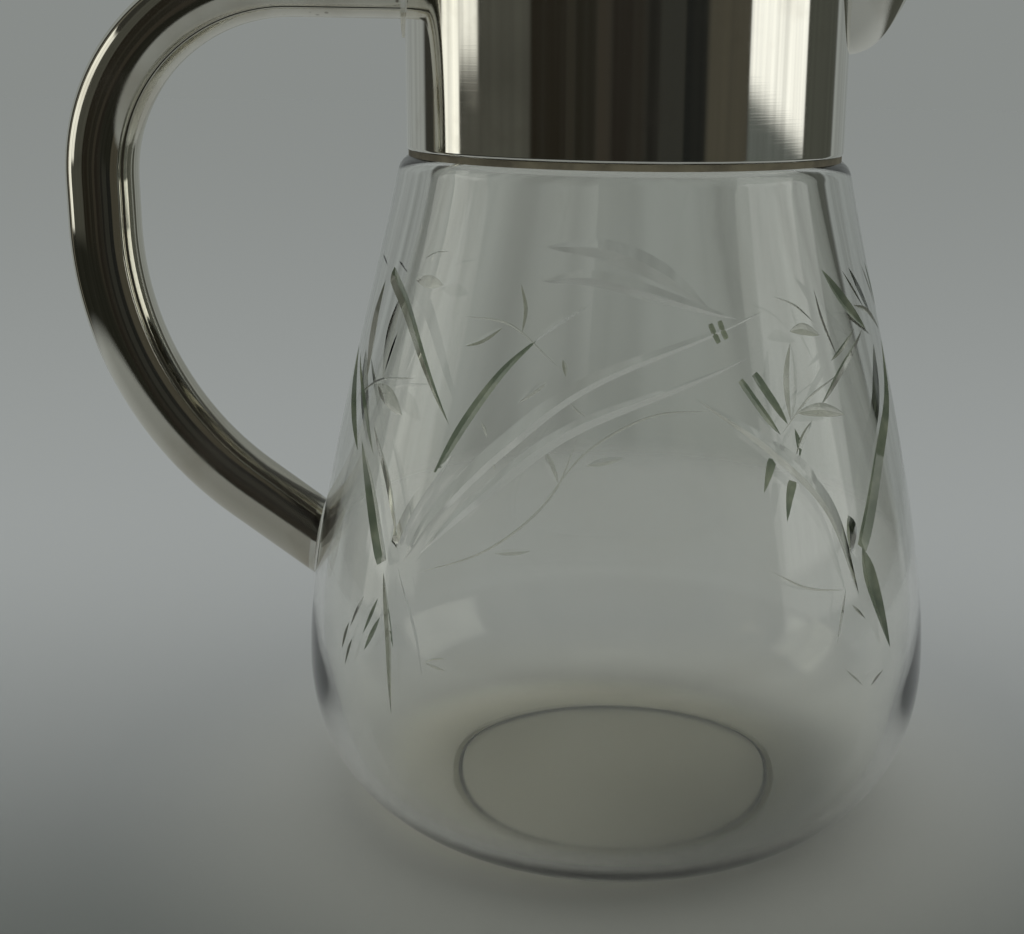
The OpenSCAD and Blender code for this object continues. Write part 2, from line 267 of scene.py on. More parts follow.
@dataclass(frozen=True)
class GlassFinish:
    """Clear old glass with a faint film and a foot tint paler as painted light, and the olive grey painted
    into the cut facets as painted shade for the light that they turn away.

    Noise scales are per metre and wave_h is in mm. foot_from holds heights in metres; the other values named
    _from are noise levels, at which a look sets in and at which it is whole.
    """

    name: str
    first: Colour = (0.960, 0.962, 0.930)
    second: Colour = (0.945, 0.944, 0.905)
    foot: Colour | None = None
    foot_from: Point = (0.012, 0.055)
    film: float = 0.0
    clear: float = 1.0
    rough: float = 0.0
    mottle: float = 38.0
    tint_from: Point = (0.4, 0.7)
    smear: float = 0.02
    smear_from: Point = (0.5, 0.9)
    wave: float = 26.0
    wave_h: float = 0.35
    wave_share: float = 0.25
    ior: float = 1.5

    def material(self) -> bpy.types.Material:
        """Build the finish: two tints, a film and a slow waviness, all from noise."""
        material, nodes = new_material(self.name)
        place = nodes.place()
        cloud = nodes.noise(place, self.mottle, 4.0)
        colour = nodes.mix(cloud.step(*self.tint_from), self.first, self.second)
        rough = cloud.step(*self.smear_from) * self.smear + self.rough
        # painted light: a paler tint low on the glass
        if self.foot is not None:
            above = nodes.split(place)[2].step(*self.foot_from)
            colour = nodes.mix(above, self.foot, colour)
            rough = rough + (1 - above) * self.film
        wave = nodes.noise(place, self.wave, 1.5)
        close_material(
            nodes, Base_Color=colour, Roughness=rough, IOR=self.ior, Transmission_Weight=self.clear,
            Normal=nodes.bump(wave, self.wave_h * MM, self.wave_share))
        return material


GLASS_FINISHES = {
    # clear glass: a foot tint paler than the body, painted light that lightens the thick heel
    Facet.CLEAR: GlassFinish("clear_glass", foot=(0.985, 0.985, 0.962), film=0.1),
    # painted shade: cut facets get olive grey colour and let less light through, for the light the cuts turn
    # away
    Facet.SHADED_GREY: GlassFinish(
        "painted_shade_grey_facet", (0.25, 0.265, 0.20), (0.36, 0.375, 0.31), clear=0.6, rough=0.03, mottle=120.0),
    Facet.DARK: GlassFinish(
        "painted_shade_dark_facet", (0.10, 0.125, 0.085), (0.20, 0.225, 0.155), clear=0.3, rough=0.05, mottle=120.0),
    Facet.GROUND: GlassFinish("ground_glass", (0.985, 0.985, 0.955), (0.965, 0.962, 0.925), rough=0.3),
    Facet.SHADED_PALE: GlassFinish(
        "painted_shade_pale_facet", (0.50, 0.515, 0.44), (0.62, 0.635, 0.56), clear=0.8, rough=0.03, mottle=120.0),
    # contact ring: worn rough, and tinted darker grey as painted shade
    Facet.WORN_AND_SHADED: GlassFinish("worn_and_shaded_ring", (0.60, 0.60, 0.51), (0.50, 0.50, 0.42), rough=0.3),
}


@dataclass(frozen=True)
class PlateFinish:
    """Old silver plate: mirror metal with hairline scratches, dulled patches and small dark pits.

    Noise scales are per metre and scratch_h is in mm. tarnish_below is a height, pits_from a place along X
    and a height, and both fades are distances, all in metres; the other values named _from are noise levels,
    at which a look sets in and at which it is whole. lathe and rub are the slow and the fast scale of the
    two grains.
    """

    name: str
    grain: Grain = Grain.CROSSED
    colour: Colour = (0.89, 0.87, 0.80)
    tarnish: Colour = (0.50, 0.45, 0.36)
    pit: Colour = (0.10, 0.085, 0.06)
    gloss: float = 0.045
    worn: float = 0.16
    tarnish_below: float | None = None
    tarnish_fade: Point = (0.02, 0.025)
    tarnish_ragged: float = 0.03
    tarnish_most: float = 0.5
    tarnish_tint: float = 0.8
    patch: float = 45.0
    dull_from: Point = (0.52, 0.74)
    dull_most: float = 0.55
    pits_from: Point | None = None
    pits_fade: Point = (0.02, 0.01)
    pits: float = 420.0
    pit_edge: Point = (0.12, 0.24)
    swarm: float = 120.0
    swarm_from: Point = (0.5, 0.62)
    scratch_rough: float = 0.02
    scratch_h: float = 0.002
    scratch_share: float = 0.2
    lathe: Point = (0.06, 2600.0)
    lathe_from: Point = (0.45, 0.75)
    rub: Point = (60.0, 900.0)
    rub_slant: float = 700.0
    rub_from: Point = (0.5, 0.8)

    def material(self) -> bpy.types.Material:
        """Build the finish from noise on the piece's own place."""
        material, nodes = new_material(self.name)
        place = nodes.place()
        x, y, z = nodes.split(place)
        patch = nodes.noise(place, self.patch, 5.0)
        dull = patch.step(*self.dull_from) * self.dull_most
        if self.tarnish_below is not None:
            low, high = self.tarnish_below - self.tarnish_fade[0], self.tarnish_below + self.tarnish_fade[1]
            ragged = z + (patch - 0.5) * self.tarnish_ragged
            dull = dull + (1 - ragged.step(low, high)) * self.tarnish_most
        scratch = self._scratches(nodes, x, y, z)
        colour = nodes.mix(dull * self.tarnish_tint, self.colour, self.tarnish)
        if self.pits_from is not None:
            colour = nodes.mix(self._pits(nodes, place, x, z), colour, self.pit)
        rough = dull * self.worn + scratch * self.scratch_rough + self.gloss
        close_material(
            nodes, Base_Color=colour, Metallic=1.0, Roughness=rough,
            Normal=nodes.bump(scratch, self.scratch_h * MM, self.scratch_share))
        return material

    def _pits(self, nodes: Nodes, place: Socket, x: Socket, z: Socket) -> Socket:
        """Mask of the dark pits: dots in swarms, past a place along X and above a height."""
        dots = nodes.add("ShaderNodeTexVoronoi", None, {"Vector": place, "Scale": self.pits}, "Distance")
        swarm = nodes.noise(place, self.swarm, 2.0).step(*self.swarm_from)
        (along, up), (along_fade, up_fade) = self.pits_from, self.pits_fade
        zone = x.step(along, along + along_fade) * z.step(up, up + up_fade)
        return (1 - dots.step(*self.pit_edge)) * swarm * zone

    def _scratches(self, nodes: Nodes, x: Socket, y: Socket, z: Socket) -> Socket:
        """Hairlines as noise drawn out along the grain.

        Args:
            nodes: the material's tree.
            x: first object coordinate.
            y: second object coordinate.
            z: third object coordinate.

        Returns:
            A height between 0 and 1.
        """
        if self.grain is Grain.AROUND:
            drawn = nodes.vector(y.angle_to(x) * self.lathe[0], z * self.lathe[1], 0.0)
            return nodes.noise(drawn, 1.0, 2.0).step(*self.lathe_from)
        slow, fast = self.rub
        first = nodes.noise(nodes.vector(x * slow, y * fast, z * slow + x * self.rub_slant), 1.0, 2.0)
        second = nodes.noise(nodes.vector(x * fast, y * slow, z * slow - y * self.rub_slant), 1.0, 2.0)
        return (first.step(*self.rub_from) + second.step(*self.rub_from)) * 0.5


@dataclass(frozen=True)
class PinFinish:
    """Drawn steel wire: grey, finely ringed by the file. rings is the noise's slow and fast scale."""

    name: str = "pin_steel"
    colour: Colour = (0.52, 0.51, 0.49)
    filed: Colour = (0.30, 0.29, 0.27)
    filed_from: Point = (0.4, 0.8)
    filed_most: float = 0.4
    rings: Point = (40.0, 3000.0)
    rough: float = 0.2
    ring_h: float = 0.02

    def material(self) -> bpy.types.Material:
        """Build the finish with rings along the pin, which lies along Y."""
        material, nodes = new_material(self.name)
        place = nodes.place()
        x, y, z = nodes.split(place)
        slow, fast = self.rings
        rings = nodes.noise(nodes.vector(x * slow, y * fast, z * slow), 1.0, 2.0)
        colour = nodes.mix(rings.step(*self.filed_from) * self.filed_most, self.colour, self.filed)
        close_material(
            nodes, Base_Color=colour, Metallic=1.0, Roughness=rings * self.rough + self.rough,
            Normal=nodes.bump(rings, self.ring_h * MM, 0.5))
        return material


@dataclass(frozen=True)
class CementFinish:
    """Beige bedding cement, browned and crumbled where it shows."""

    name: str = "bedding_cement"
    light: Colour = (0.135, 0.122, 0.076)
    brown: Colour = (0.072, 0.063, 0.039)
    mottle: float = 160.0
    brown_from: Point = (0.35, 0.75)
    grain: float = 1400.0
    grain_h: float = 0.12
    rough: Point = (0.65, 0.25)

    def material(self) -> bpy.types.Material:
        """Build the finish: two scales of mottling and a grainy surface."""
        material, nodes = new_material(self.name)
        place = nodes.place()
        mottle = nodes.noise(place, self.mottle, 5.0)
        grain = nodes.noise(place, self.grain, 3.0)
        colour = nodes.mix(mottle.step(*self.brown_from), self.light, self.brown)
        close_material(
            nodes, Base_Color=colour, Roughness=self.rough[0] + self.rough[1] * grain,
            Normal=nodes.bump(grain + mottle, self.grain_h * MM, 0.8))
        return material


class Mesher:
    """Collects faces with a normal for each corner, and makes one closed mesh of them."""

    WELD = 2e-5

    def __init__(self) -> None:
        """Start empty."""
        self.points: list[np.ndarray] = []
        self.faces: list[list[int]] = []
        self.normals: list[np.ndarray] = []
        self.facets: list[int] = []
        self.count = 0

    def grid(
            self, points: np.ndarray, normals: np.ndarray, wrap: bool = False,
            facet: Facet = Facet.CLEAR) -> None:
        """Add a sheet of quads.

        Args:
            points: rows by columns by 3, in mm; rows go up and columns to the right, seen from outside.
            normals: outward normals of the same shape.
            wrap: join the last column to the first.
            facet: look of the sheet.
        """
        rows, columns = points.shape[:2]
        base = self.count
        self.points.append(points.reshape(-1, 3))
        self.count += rows * columns
        flat = normals.reshape(-1, 3)
        for row in range(rows - 1):
            for column in range(columns if wrap else columns - 1):
                after = (column + 1) % columns
                corners = [row * columns + column, row * columns + after,
                           (row + 1) * columns + after, (row + 1) * columns + column]
                self.face([base + c for c in corners], [flat[c] for c in corners], facet.value)

    def triangles(
            self, points: np.ndarray, corners: np.ndarray, normals: np.ndarray, facets: np.ndarray) -> None:
        """Add loose triangles.

        Args:
            points: points in mm.
            corners: indices of each triangle's three points.
            normals: triangles by 3 corners by 3.
            facets: look of each triangle, as the value of a Facet.
        """
        base = self.count
        self.points.append(points)
        self.count += len(points)
        for triangle, normal, facet in zip(corners, normals, facets):
            self.face([base + int(c) for c in triangle], list(normal), int(facet))

    def face(self, corners: list[int], normals: list[np.ndarray], facet: int) -> None:
        """Add one face by the indices of its corners."""
        self.faces.append(corners)
        self.normals.append(np.array(normals))
        self.facets.append(facet)

    def mesh(self, name: str) -> bpy.types.Mesh:
        """Weld what was collected.

        Args:
            name: the mesh's name.

        Returns:
            A mesh in metres with the collected normals.
        """
        points = np.vstack(self.points)
        keys = np.round(points / self.WELD).astype(np.int64)
        _, first, index = np.unique(keys, axis=0, return_index=True, return_inverse=True)
        index = index.reshape(-1)
        faces, normals, facets = [], [], []
        for corners, normal, facet in zip(self.faces, self.normals, self.facets):
            welded = [int(index[c]) for c in corners]
            kept = [i for i, c in enumerate(welded) if c != welded[i - 1]]
            if len(kept) < 3:
                continue
            faces.append([welded[i] for i in kept])
            normals.extend(normal[kept])
            facets.append(facet)
        mesh = bpy.data.meshes.new(name)
        mesh.from_pydata((points[first] * MM).tolist(), [], faces)
        mesh.polygons.foreach_set("use_smooth", [True] * len(faces))
        mesh.polygons.foreach_set("material_index", facets)
        mesh.normals_split_custom_set([tuple(n) for n in normals])
        mesh.update()
        return mesh


def bezier(controls: Sequence[Point], steps: int) -> Outline:
    """Points and directions along a cubic curve.

    Args:
        controls: its four control points.
        steps: number of stretches.

    Returns:
        The points, and the unit directions there.
    """
    p = np.array(controls, float)
    t = np.linspace(0.0, 1.0, steps + 1)[:, None]
    points = (1 - t) ** 3 * p[0] + 3 * t * (1 - t) ** 2 * p[1] + 3 * t * t * (1 - t) * p[2] + t ** 3 * p[3]
    slopes = (1 - t) ** 2 * (p[1] - p[0]) + 2 * t * (1 - t) * (p[2] - p[1]) + t * t * (p[3] - p[2])
    return points, slopes / np.linalg.norm(slopes, axis=1, keepdims=True)


def line(start: Point, end: Point, steps: int = 1) -> Outline:
    """Points and directions along a straight stretch."""
    a, b = np.array(start, float), np.array(end, float)
    points = a + (b - a) * np.linspace(0.0, 1.0, steps + 1)[:, None]
    return points, np.repeat((b - a)[None] / np.linalg.norm(b - a), steps + 1, axis=0)


def arc(centre: Point, radius: float, start: float, end: float, steps: int) -> Outline:
    """Points and directions along an arc between two angles in degrees."""
    a = np.radians(np.linspace(start, end, steps + 1))
    ray = np.stack([np.cos(a), np.sin(a)], axis=1)
    turn = np.stack([-np.sin(a), np.cos(a)], axis=1) * math.copysign(1.0, end - start)
    return np.array(centre) + radius * ray, turn


def turned(outline: Outline) -> Outline:
    """The same outline, run the other way."""
    points, ways = outline
    return points[::-1], -ways[::-1]


def spin(outline: np.ndarray, angles: np.ndarray) -> np.ndarray:
    """Turn (radius, height) pairs round Z, one row for each pair and one column for each angle."""
    ring = np.stack([np.cos(angles), np.sin(angles)], axis=1)
    heights = np.repeat(outline[:, None, 1:], len(angles), axis=1)
    return np.concatenate([outline[:, None, :1] * ring, heights], axis=2)


def revolve(mesher: Mesher, outline: Outline, columns: int, facet: Facet = Facet.CLEAR) -> None:
    """Add the sheet that an outline sweeps round Z.

    Args:
        mesher: takes the sheet.
        outline: (radius, height) points in mm and their directions, with the outside on the right.
        columns: number of columns round the axis.
        facet: look of the sheet.
    """
    points, ways = outline
    angles = np.radians(np.arange(columns) * 360.0 / columns)
    out = np.stack([ways[:, 1], -ways[:, 0]], axis=1)
    mesher.grid(spin(points, angles), spin(out, angles), True, facet)


def revolve_all(mesher: Mesher, outlines: Sequence[Outline], columns: int) -> None:
    """Add the sheets that a chain of outlines sweeps round Z."""
    for outline in outlines:
        revolve(mesher, outline, columns)


def edge_strip(mesher: Mesher, points: np.ndarray) -> None:
    """Add a narrow grid with a normal worked out from its own shape."""
    across = np.gradient(points, axis=1)
    up = np.gradient(points, axis=0)
    normals = np.cross(across, up)
    size = np.linalg.norm(normals, axis=2, keepdims=True)
    mesher.grid(points, normals / np.maximum(size, TINY))


def plate(mesher: Mesher, outside: Outline, inside: Outline, sides: tuple[bool, bool] = (True, True)) -> None:
    """Add a curved plate with closed edges.

    Args:
        mesher: takes the plate.
        outside: points and normals of the outer sheet, rows going up and columns to the right.
        inside: points and normals of the inner sheet, in the same order.
        sides: whether the first and the last column get an edge.
    """
    mesher.grid(*outside)
    mesher.grid(inside[0][:, ::-1], -inside[1][:, ::-1])
    edge_strip(mesher, np.stack([inside[0][0], outside[0][0]]))
    edge_strip(mesher, np.stack([outside[0][-1], inside[0][-1]]))
    if sides[0]:
        edge_strip(mesher, np.stack([inside[0][:, 0], outside[0][:, 0]], axis=1))
    if sides[1]:
        edge_strip(mesher, np.stack([outside[0][:, -1], inside[0][:, -1]], axis=1))


def new_object(data: bpy.types.ID) -> bpy.types.Object:
    """Put a mesh or a curve in the scene."""
    piece = bpy.data.objects.new(data.name, data)
    bpy.context.scene.collection.objects.link(piece)
    return piece


def new_piece(mesh: bpy.types.Mesh, *materials: bpy.types.Material) -> bpy.types.Object:
    """Put a finished mesh in the scene with its materials."""
    for material in materials:
        mesh.materials.append(material)
    return new_object(mesh)


def stand_for(piece: bpy.types.Object, node: str, body: str) -> bpy.types.Object:
    """Let a piece stand for a CAD node.

    Args:
        piece: the finished piece.
        node: the CAD node that it replaces.
        body: the body that it rides on.

    Returns:
        The piece.
    """
    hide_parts(node)
    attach(piece, body)
    LOG.info("built %s for %s, %d faces", piece.name, node, len(piece.data.polygons))
    return piece


class GeometryTree:
    """A Geometry Nodes tree with named inputs for its sizes, run once on one object."""

    def __init__(self, name: str, sizes: dict[str, float]) -> None:
        """Make the tree with one input for each size, in metres."""
        self.group = bpy.data.node_groups.new(name, "GeometryNodeTree")
        self.nodes = Nodes(self.group)
        self.sizes = sizes
        sockets = {"Geometry": "NodeSocketGeometry", **{size: "NodeSocketFloat" for size in sizes}}
        for label, kind in sockets.items():
            self.group.interface.new_socket(label, in_out="INPUT", socket_type=kind)
        self.group.interface.new_socket("Geometry", in_out="OUTPUT", socket_type="NodeSocketGeometry")
        self.entry = self.group.nodes.new("NodeGroupInput")

    def input(self, name: str) -> Socket:
        """One of the tree's named inputs."""
        return Socket(self.nodes, self.entry.outputs[name])

    def run(self, source: bpy.types.Object, geometry: Socket, material: bpy.types.Material) -> bpy.types.Mesh:
        """End the tree and run it.

        Args:
            source: the object that carries the tree; it is removed afterwards.
            geometry: what the tree has made.
            material: finish of the result.

        Returns:
            The result as a plain mesh.
        """
        whole = self.nodes.add("GeometryNodeRealizeInstances", None, {"Geometry": geometry})
        dressed = self.nodes.add("GeometryNodeSetMaterial", None, {"Geometry": whole, "Material": material})
        self.nodes.add("NodeGroupOutput", None, {"Geometry": dressed})
        modifier = source.modifiers.new(self.group.name, "NODES")
        modifier.node_group = self.group
        for item in self.group.interface.items_tree:
            if item.in_out == "INPUT" and item.name in self.sizes:
                modifier[item.identifier] = self.sizes[item.name]
        name = source.name
        graph = bpy.context.evaluated_depsgraph_get()
        mesh = bpy.data.meshes.new_from_object(source.evaluated_get(graph))
        source.modifiers.remove(modifier)
        bpy.data.objects.remove(source)
        mesh.name = name
        return mesh


@dataclass(frozen=True)
class Cut:
    """One pass of the cutting wheel over the wall of the glass.

    path holds (degrees round the jug, millimetres up); width is the widest place, at the share peak of the
    way; lean is the share of the width on the left of the bottom; dark is the painted shade of the left
    and of the right facet; flat scales the depth. DEPTH is the depth over the width, SHADES the least
    painted shade of each look, STEP the spacing along the path in mm and GIRTH a mean radius over the
    widest diameter. A square end starts at the share SQUARE of the width and is full after the share
    SQUARE_RUN of the way.
    """

    kind: CutKind
    path: tuple[Point, ...]
    width: float
    dark: Point = (0.3, 0.3)
    peak: float = 0.5
    lean: float = 0.5
    blunt: Blunt = Blunt.NONE
    flat: float = 1.0

    DEPTH = {CutKind.BLADE: 0.17, CutKind.LINE: 0.24, CutKind.OLIVE: 0.10}
    SHADES = {Facet.SHADED_PALE: 0.15, Facet.SHADED_GREY: 0.3, Facet.DARK: 0.62}
    STEP = 1.5
    LEAST_STEPS = 4
    GIRTH = 0.42
    SQUARE = 0.55
    SQUARE_RUN = 0.08
    FULLNESS = 0.85

    def spine(self) -> tuple[np.ndarray, np.ndarray]:
        """Smooth path through the points.

        Returns:
            (degrees, millimetres) along the bottom of the cut, and the share of the way of each.
        """
        p = np.array(self.path, float)
        p = np.vstack([2 * p[0] - p[1], p, 2 * p[-1] - p[-2]])
        steps = max(self.LEAST_STEPS, round(self.length() / self.STEP / (len(self.path) - 1)))
        t = np.linspace(0.0, 1.0, steps, endpoint=False)[:, None]
        runs = []
        for a, b, c, d in zip(p, p[1:], p[2:], p[3:]):
            runs.append(0.5 * (2 * b + (c - a) * t + (2 * a - 5 * b + 4 * c - d) * t ** 2
                               + (3 * b - a - 3 * c + d) * t ** 3))
        runs.append(p[-2:-1])
        path = np.vstack(runs)
        return path, np.linspace(0.0, 1.0, len(path))

    def length(self) -> float:
        """Rough length in mm, on a mean radius."""
        p = np.array(self.path, float) * (math.radians(1) * GlassBody.belly_d * self.GIRTH, 1.0)
        return float(np.hypot(*np.diff(p, axis=0).T).sum())

    def widths(self, share: np.ndarray) -> np.ndarray:
        """Width at each share of the way."""
        rise = np.clip(share / self.peak, 0, 1)
        fall = np.clip((1 - share) / (1 - self.peak), 0, 1)
        if self.blunt in (Blunt.START, Blunt.BOTH):
            rise = np.maximum(rise, self._square(share))
        if self.blunt in (Blunt.END, Blunt.BOTH):
            fall = np.maximum(fall, self._square(1 - share))
        return self.width * np.sin(0.5 * math.pi * np.minimum(rise, fall)) ** self.FULLNESS

    def _square(self, share: np.ndarray) -> np.ndarray:
        """Rise of the width from a square end."""
        return self.SQUARE + (1 - self.SQUARE) * np.clip(share / self.SQUARE_RUN, 0, 1)

    @property
    def depth(self) -> float:
        """Depth at a place as a share of the width there."""
        return self.DEPTH[self.kind] * self.flat

    def facets(self, side: np.ndarray) -> np.ndarray:
        """Look of faces on a side of the bottom, as values of Facet."""
        # painted shade: the greater a facet's shade, the greyer and less clear its painted finish
        shade = np.array(self.dark)[side]
        look = np.full(shade.shape, Facet.CLEAR.value)
        for facet, least in self.SHADES.items():
            look = np.where(shade >= least, facet.value, look)
        return look


def blade(path: Sequence[Point], width: float, dark: Point, **more: Any) -> Cut:
    """A V groove."""
    return Cut(CutKind.BLADE, tuple(path), width, dark, **more)


def fine(path: Sequence[Point], width: float = 0.5, dark: float = 0.2) -> Cut:
    """A fine line."""
    return Cut(CutKind.LINE, tuple(path), width, (dark, dark))


def olive(path: Sequence[Point], width: float, dark: Point = (0.05, 0.2), **more: Any) -> Cut:
    """A shallow oval."""
    return Cut(CutKind.OLIVE, tuple(path), width, dark, **more)


FRONT_SPRIG = (
    blade([(-98, 129.5), (-104, 126), (-110, 121)], 1.2, (0.05, 0.1)),
    blade([(-107.5, 123.2), (-115, 115.5), (-122, 104.5), (-128, 91.5)], 2.2, (0.98, 0.9), peak=0.68,
          lean=0.55),
    blade([(-123.5, 98.5), (-130.5, 87), (-134, 78)], 3.4, (0.0, 0.1), peak=0.6, blunt=Blunt.END),
    blade([(-134.8, 81.5), (-134, 79.5), (-133.5, 77.5)], 1.6, (0.9, 0.6)),
    blade([(-131.6, 75), (-126, 85.5), (-113.5, 100.8), (-95.5, 115.5), (-62, 127.8)], 3.7, (0.0, 0.12),
          lean=0.6),
    blade([(-127.7, 78), (-116.5, 91.7), (-99, 106.8), (-66.5, 119.1)], 3.0, (0.1, 0.0), lean=0.4),
    blade([(-108.3, 140), (-95.4, 140), (-84, 136), (-74.3, 129.1)], 4.6, (0.1, 0.02), lean=0.45),
    blade([(-108.5, 133.5), (-95, 134.1), (-68, 126.5)], 3.3, (0.12, 0.02), peak=0.55),
    fine([(-125, 125.5), (-114, 124.7), (-103.6, 117.5)]),
    olive([(-124, 119.7), (-120, 121.5), (-115.7, 124.2)], 1.5, (0.05, 0.4)),
    olive([(-112.8, 132.7), (-111.2, 128), (-111.5, 123.5)], 0.8, (0.6, 0.4)),
    fine([(-128.2, 73.8), (-114, 81.5), (-103.5, 92.7), (-99, 104.9)]),
    fine([(-104.4, 92.1), (-97, 102.2), (-86, 108.7), (-74.4, 109.5)]),
    olive([(-105, 101.5), (-103.8, 98.5), (-102.2, 95.5)], 1.9, (0.2, 0.05)),
    olive([(-97.5, 99.2), (-94.3, 100.1), (-90.8, 100.9)], 1.5),
    olive([(-112.8, 81), (-109.5, 81.7), (-106.2, 82.3)], 1.4),
    olive([(-105.5, 111.1), (-102.5, 112), (-99, 112.5)], 1.1, (0.05, 0.3)),
    olive([(-111, 110.1), (-108, 112.7), (-105.6, 114.5)], 1.5, (0.05, 0.2)),
    olive([(-102.8, 118.9), (-102.3, 117.5), (-102, 115.7)], 1.0, (0.2, 0.3)),
    fine([(-118, 105.7), (-117.2, 104.5), (-116.4, 102.8)], 0.8),
    fine([(-115.6, 99.8), (-114.9, 98.5), (-114, 96.7)], 0.8),
    fine([(-101, 110.9), (-99.6, 109.5), (-98, 108.4)], 0.4),
)

LEFT_SPRIG = (
    blade([(-154, 130.8), (-142, 123.2), (-125, 104.1)], 3.5, (0.85, 0.45), peak=0.2, lean=0.62,
          blunt=Blunt.START),
    fine([(-164.4, 133.5), (-161, 132.9), (-158, 132)], 0.5, 0.1),
    blade([(-157, 128.9), (-159, 121.5), (-158, 115.5), (-155, 108)], 4.2, (0.2, 0.5), lean=0.7),
    fine([(-145, 119.5), (-146, 115.8), (-147, 111)], 0.8, 0.1),
    fine([(-158, 103.9), (-148, 109.2), (-136, 111.7)], 0.65),
    olive([(-149.6, 108), (-143.5, 106.5), (-137.8, 103.7)], 3.9, (0.28, 0.28)),
    olive([(-141.7, 130.8), (-137, 131), (-132.4, 130.8)], 2.8, (0.15, 0.15)),
    fine([(-140, 135.3), (-136.7, 136.8), (-132.3, 137.5)], 0.35, 0.2),
    blade([(-170.6, 112.5), (-164, 105), (-152, 93.2)], 4.4, (0.6, 0.85)),
    blade([(-165, 111.8), (-154, 103.7), (-145, 94)], 1.8, (0.7, 0.7)),
    blade([(-151, 95.7), (-144, 86.5), (-137, 73.5)], 4.2, (0.2, 0.97), peak=0.7, lean=0.55, blunt=Blunt.END),
    blade([(-147, 99.8), (-139, 90.5), (-133.3, 79.1)], 1.8, (0.2, 0.2)),
    blade([(-136, 71.8), (-133, 59.5), (-131, 43.2)], 1.9, (0.15, 0.5), peak=0.4),
    blade([(-135, 67.8), (-133.5, 63.5), (-131.5, 57.5)], 1.3, (0.8, 0.8)),
    blade([(-136.6, 66.2), (-138, 62.3), (-139.8, 57.5)], 1.0, (0.95, 0.7)),
    blade([(-135.5, 62.5), (-137.2, 58.5), (-139, 54.2)], 1.3, (0.97, 0.7)),
    blade([(-144.6, 58.2), (-145.6, 54.9), (-146.3, 51.7)], 1.0, (0.8, 0.4)),
    blade([(-143, 55.2), (-144, 52.2), (-144.8, 48.7)], 0.9, (0.8, 0.4)),
    blade([(-140.7, 65.3), (-142.4, 61.5), (-144, 57.5)], 1.0, (0.2, 0.2)),
    fine([(-124.4, 56.5), (-122.4, 57.8), (-120, 58.5)], 0.4),
    fine([(-124.2, 56.5), (-122, 56.2), (-120, 56)], 0.55),
    fine([(-132.3, 73.5), (-127, 62.5), (-124.3, 52.5)], 0.7, 0.12),
)

RIGHT_SPRIG = (
    blade([(-74, 125.9), (-73.3, 124.2), (-72.4, 122.2)], 1.1, (0.98, 0.85), blunt=Blunt.BOTH, flat=2.0),
    blade([(-72, 126.4), (-71.4, 124.5), (-70.7, 122.9)], 1.1, (0.98, 0.85), blunt=Blunt.BOTH, flat=2.0),
    blade([(-68.3, 115), (-64, 108.5), (-60.7, 103.7)], 1.5, (0.9, 0.97), lean=0.4, blunt=Blunt.START),
    blade([(-65.4, 115.9), (-62, 110.5), (-58.8, 105.5)], 1.7, (0.98, 0.9), lean=0.6, blunt=Blunt.START),
    olive([(-56, 121.1), (-57, 114.5), (-58, 106.1)], 3.6, (0.12, 0.3), peak=0.55),
    olive([(-55.8, 123.4), (-52, 123.5), (-47.4, 121.8)], 2.5, (0.15, 0.35)),
    fine([(-58.7, 130.3), (-53.5, 128.2), (-48.7, 124.5)], 0.5),
    fine([(-47.2, 130.8), (-45.8, 124.3), (-42.5, 116.5)], 0.78),
    blade([(-43.5, 134.5), (-36, 127), (-27.6, 120.5)], 3.0, (0.75, 0.9)),
    fine([(-22.2, 133.5), (-18.2, 129), (-13.2, 123.3)], 0.8, 0.3),
    blade([(-18, 133.7), (-13.5, 127.5), (-9.3, 121.3)], 2.2, (0.95, 0.8)),
    blade([(-32.7, 126.2), (-24, 123.8), (-14.3, 118.3)], 1.3, (0.3, 0.6), peak=0.6),
    blade([(-13, 115.9), (-20, 105.5), (-32, 94.5), (-43.2, 77.8)], 4.4, (0.7, 0.85), peak=0.3,
          blunt=Blunt.END),
    blade([(-43.2, 77.8), (-41, 69.3), (-36.8, 54.4)], 4.6, (0.75, 0.92), peak=0.45),
    blade([(-34, 121.5), (-40.5, 118.3), (-45, 116.4)], 1.1, (0.5, 0.7)),
    blade([(-30, 120.8), (-41.3, 114.5), (-50, 108)], 1.7, (0.15, 0.75)),
    blade([(-52.8, 105.5), (-55.5, 102.5), (-57.8, 98.8)], 1.5, (0.1, 0.6)),
    fine([(-43.4, 113.5), (-53, 110), (-60.4, 103.9)], 0.55),
    olive([(-56.4, 107.5), (-50, 107.3), (-43, 105.3)], 2.9, (0.15, 0.35)),
    blade([(-77.4, 111.8), (-63, 101.5), (-51, 88), (-45.5, 68.8)], 3.4, (0.02, 0.15), peak=0.55),
    blade([(-64.6, 103.9), (-57, 97.5), (-52, 90.5)], 2.8, (0.0, 0.05), peak=0.6),
    blade([(-63, 99.3), (-64, 96.5), (-65.3, 93)], 2.1, (0.98, 0.9), peak=0.1, blunt=Blunt.START),
    blade([(-59, 94.5), (-60, 91.5), (-61, 86.8)], 2.3, (0.98, 0.9), peak=0.1, blunt=Blunt.START),
    blade([(-57.3, 104.5), (-56.7, 101.5), (-56.8, 98.9)], 1.3, (0.9, 0.7)),
    blade([(-46.2, 85.3), (-45.6, 82.1), (-46.6, 77.5)], 3.4, (0.0, 0.97)),
    fine([(-64.5, 77.3), (-57.7, 73), (-49.4, 70.7)], 0.5),
    fine([(-47.6, 67.1), (-46.2, 65.5), (-44.3, 63.3)], 0.7),
    fine([(-49, 70.5), (-50.4, 65.8), (-52, 60.5)], 0.75, 0.25),
    fine([(-50.2, 54.2), (-48.2, 52), (-46, 49.5)], 0.45),
    fine([(-43.6, 48.5), (-42, 49.5), (-39.6, 50.5)], 0.7),
)


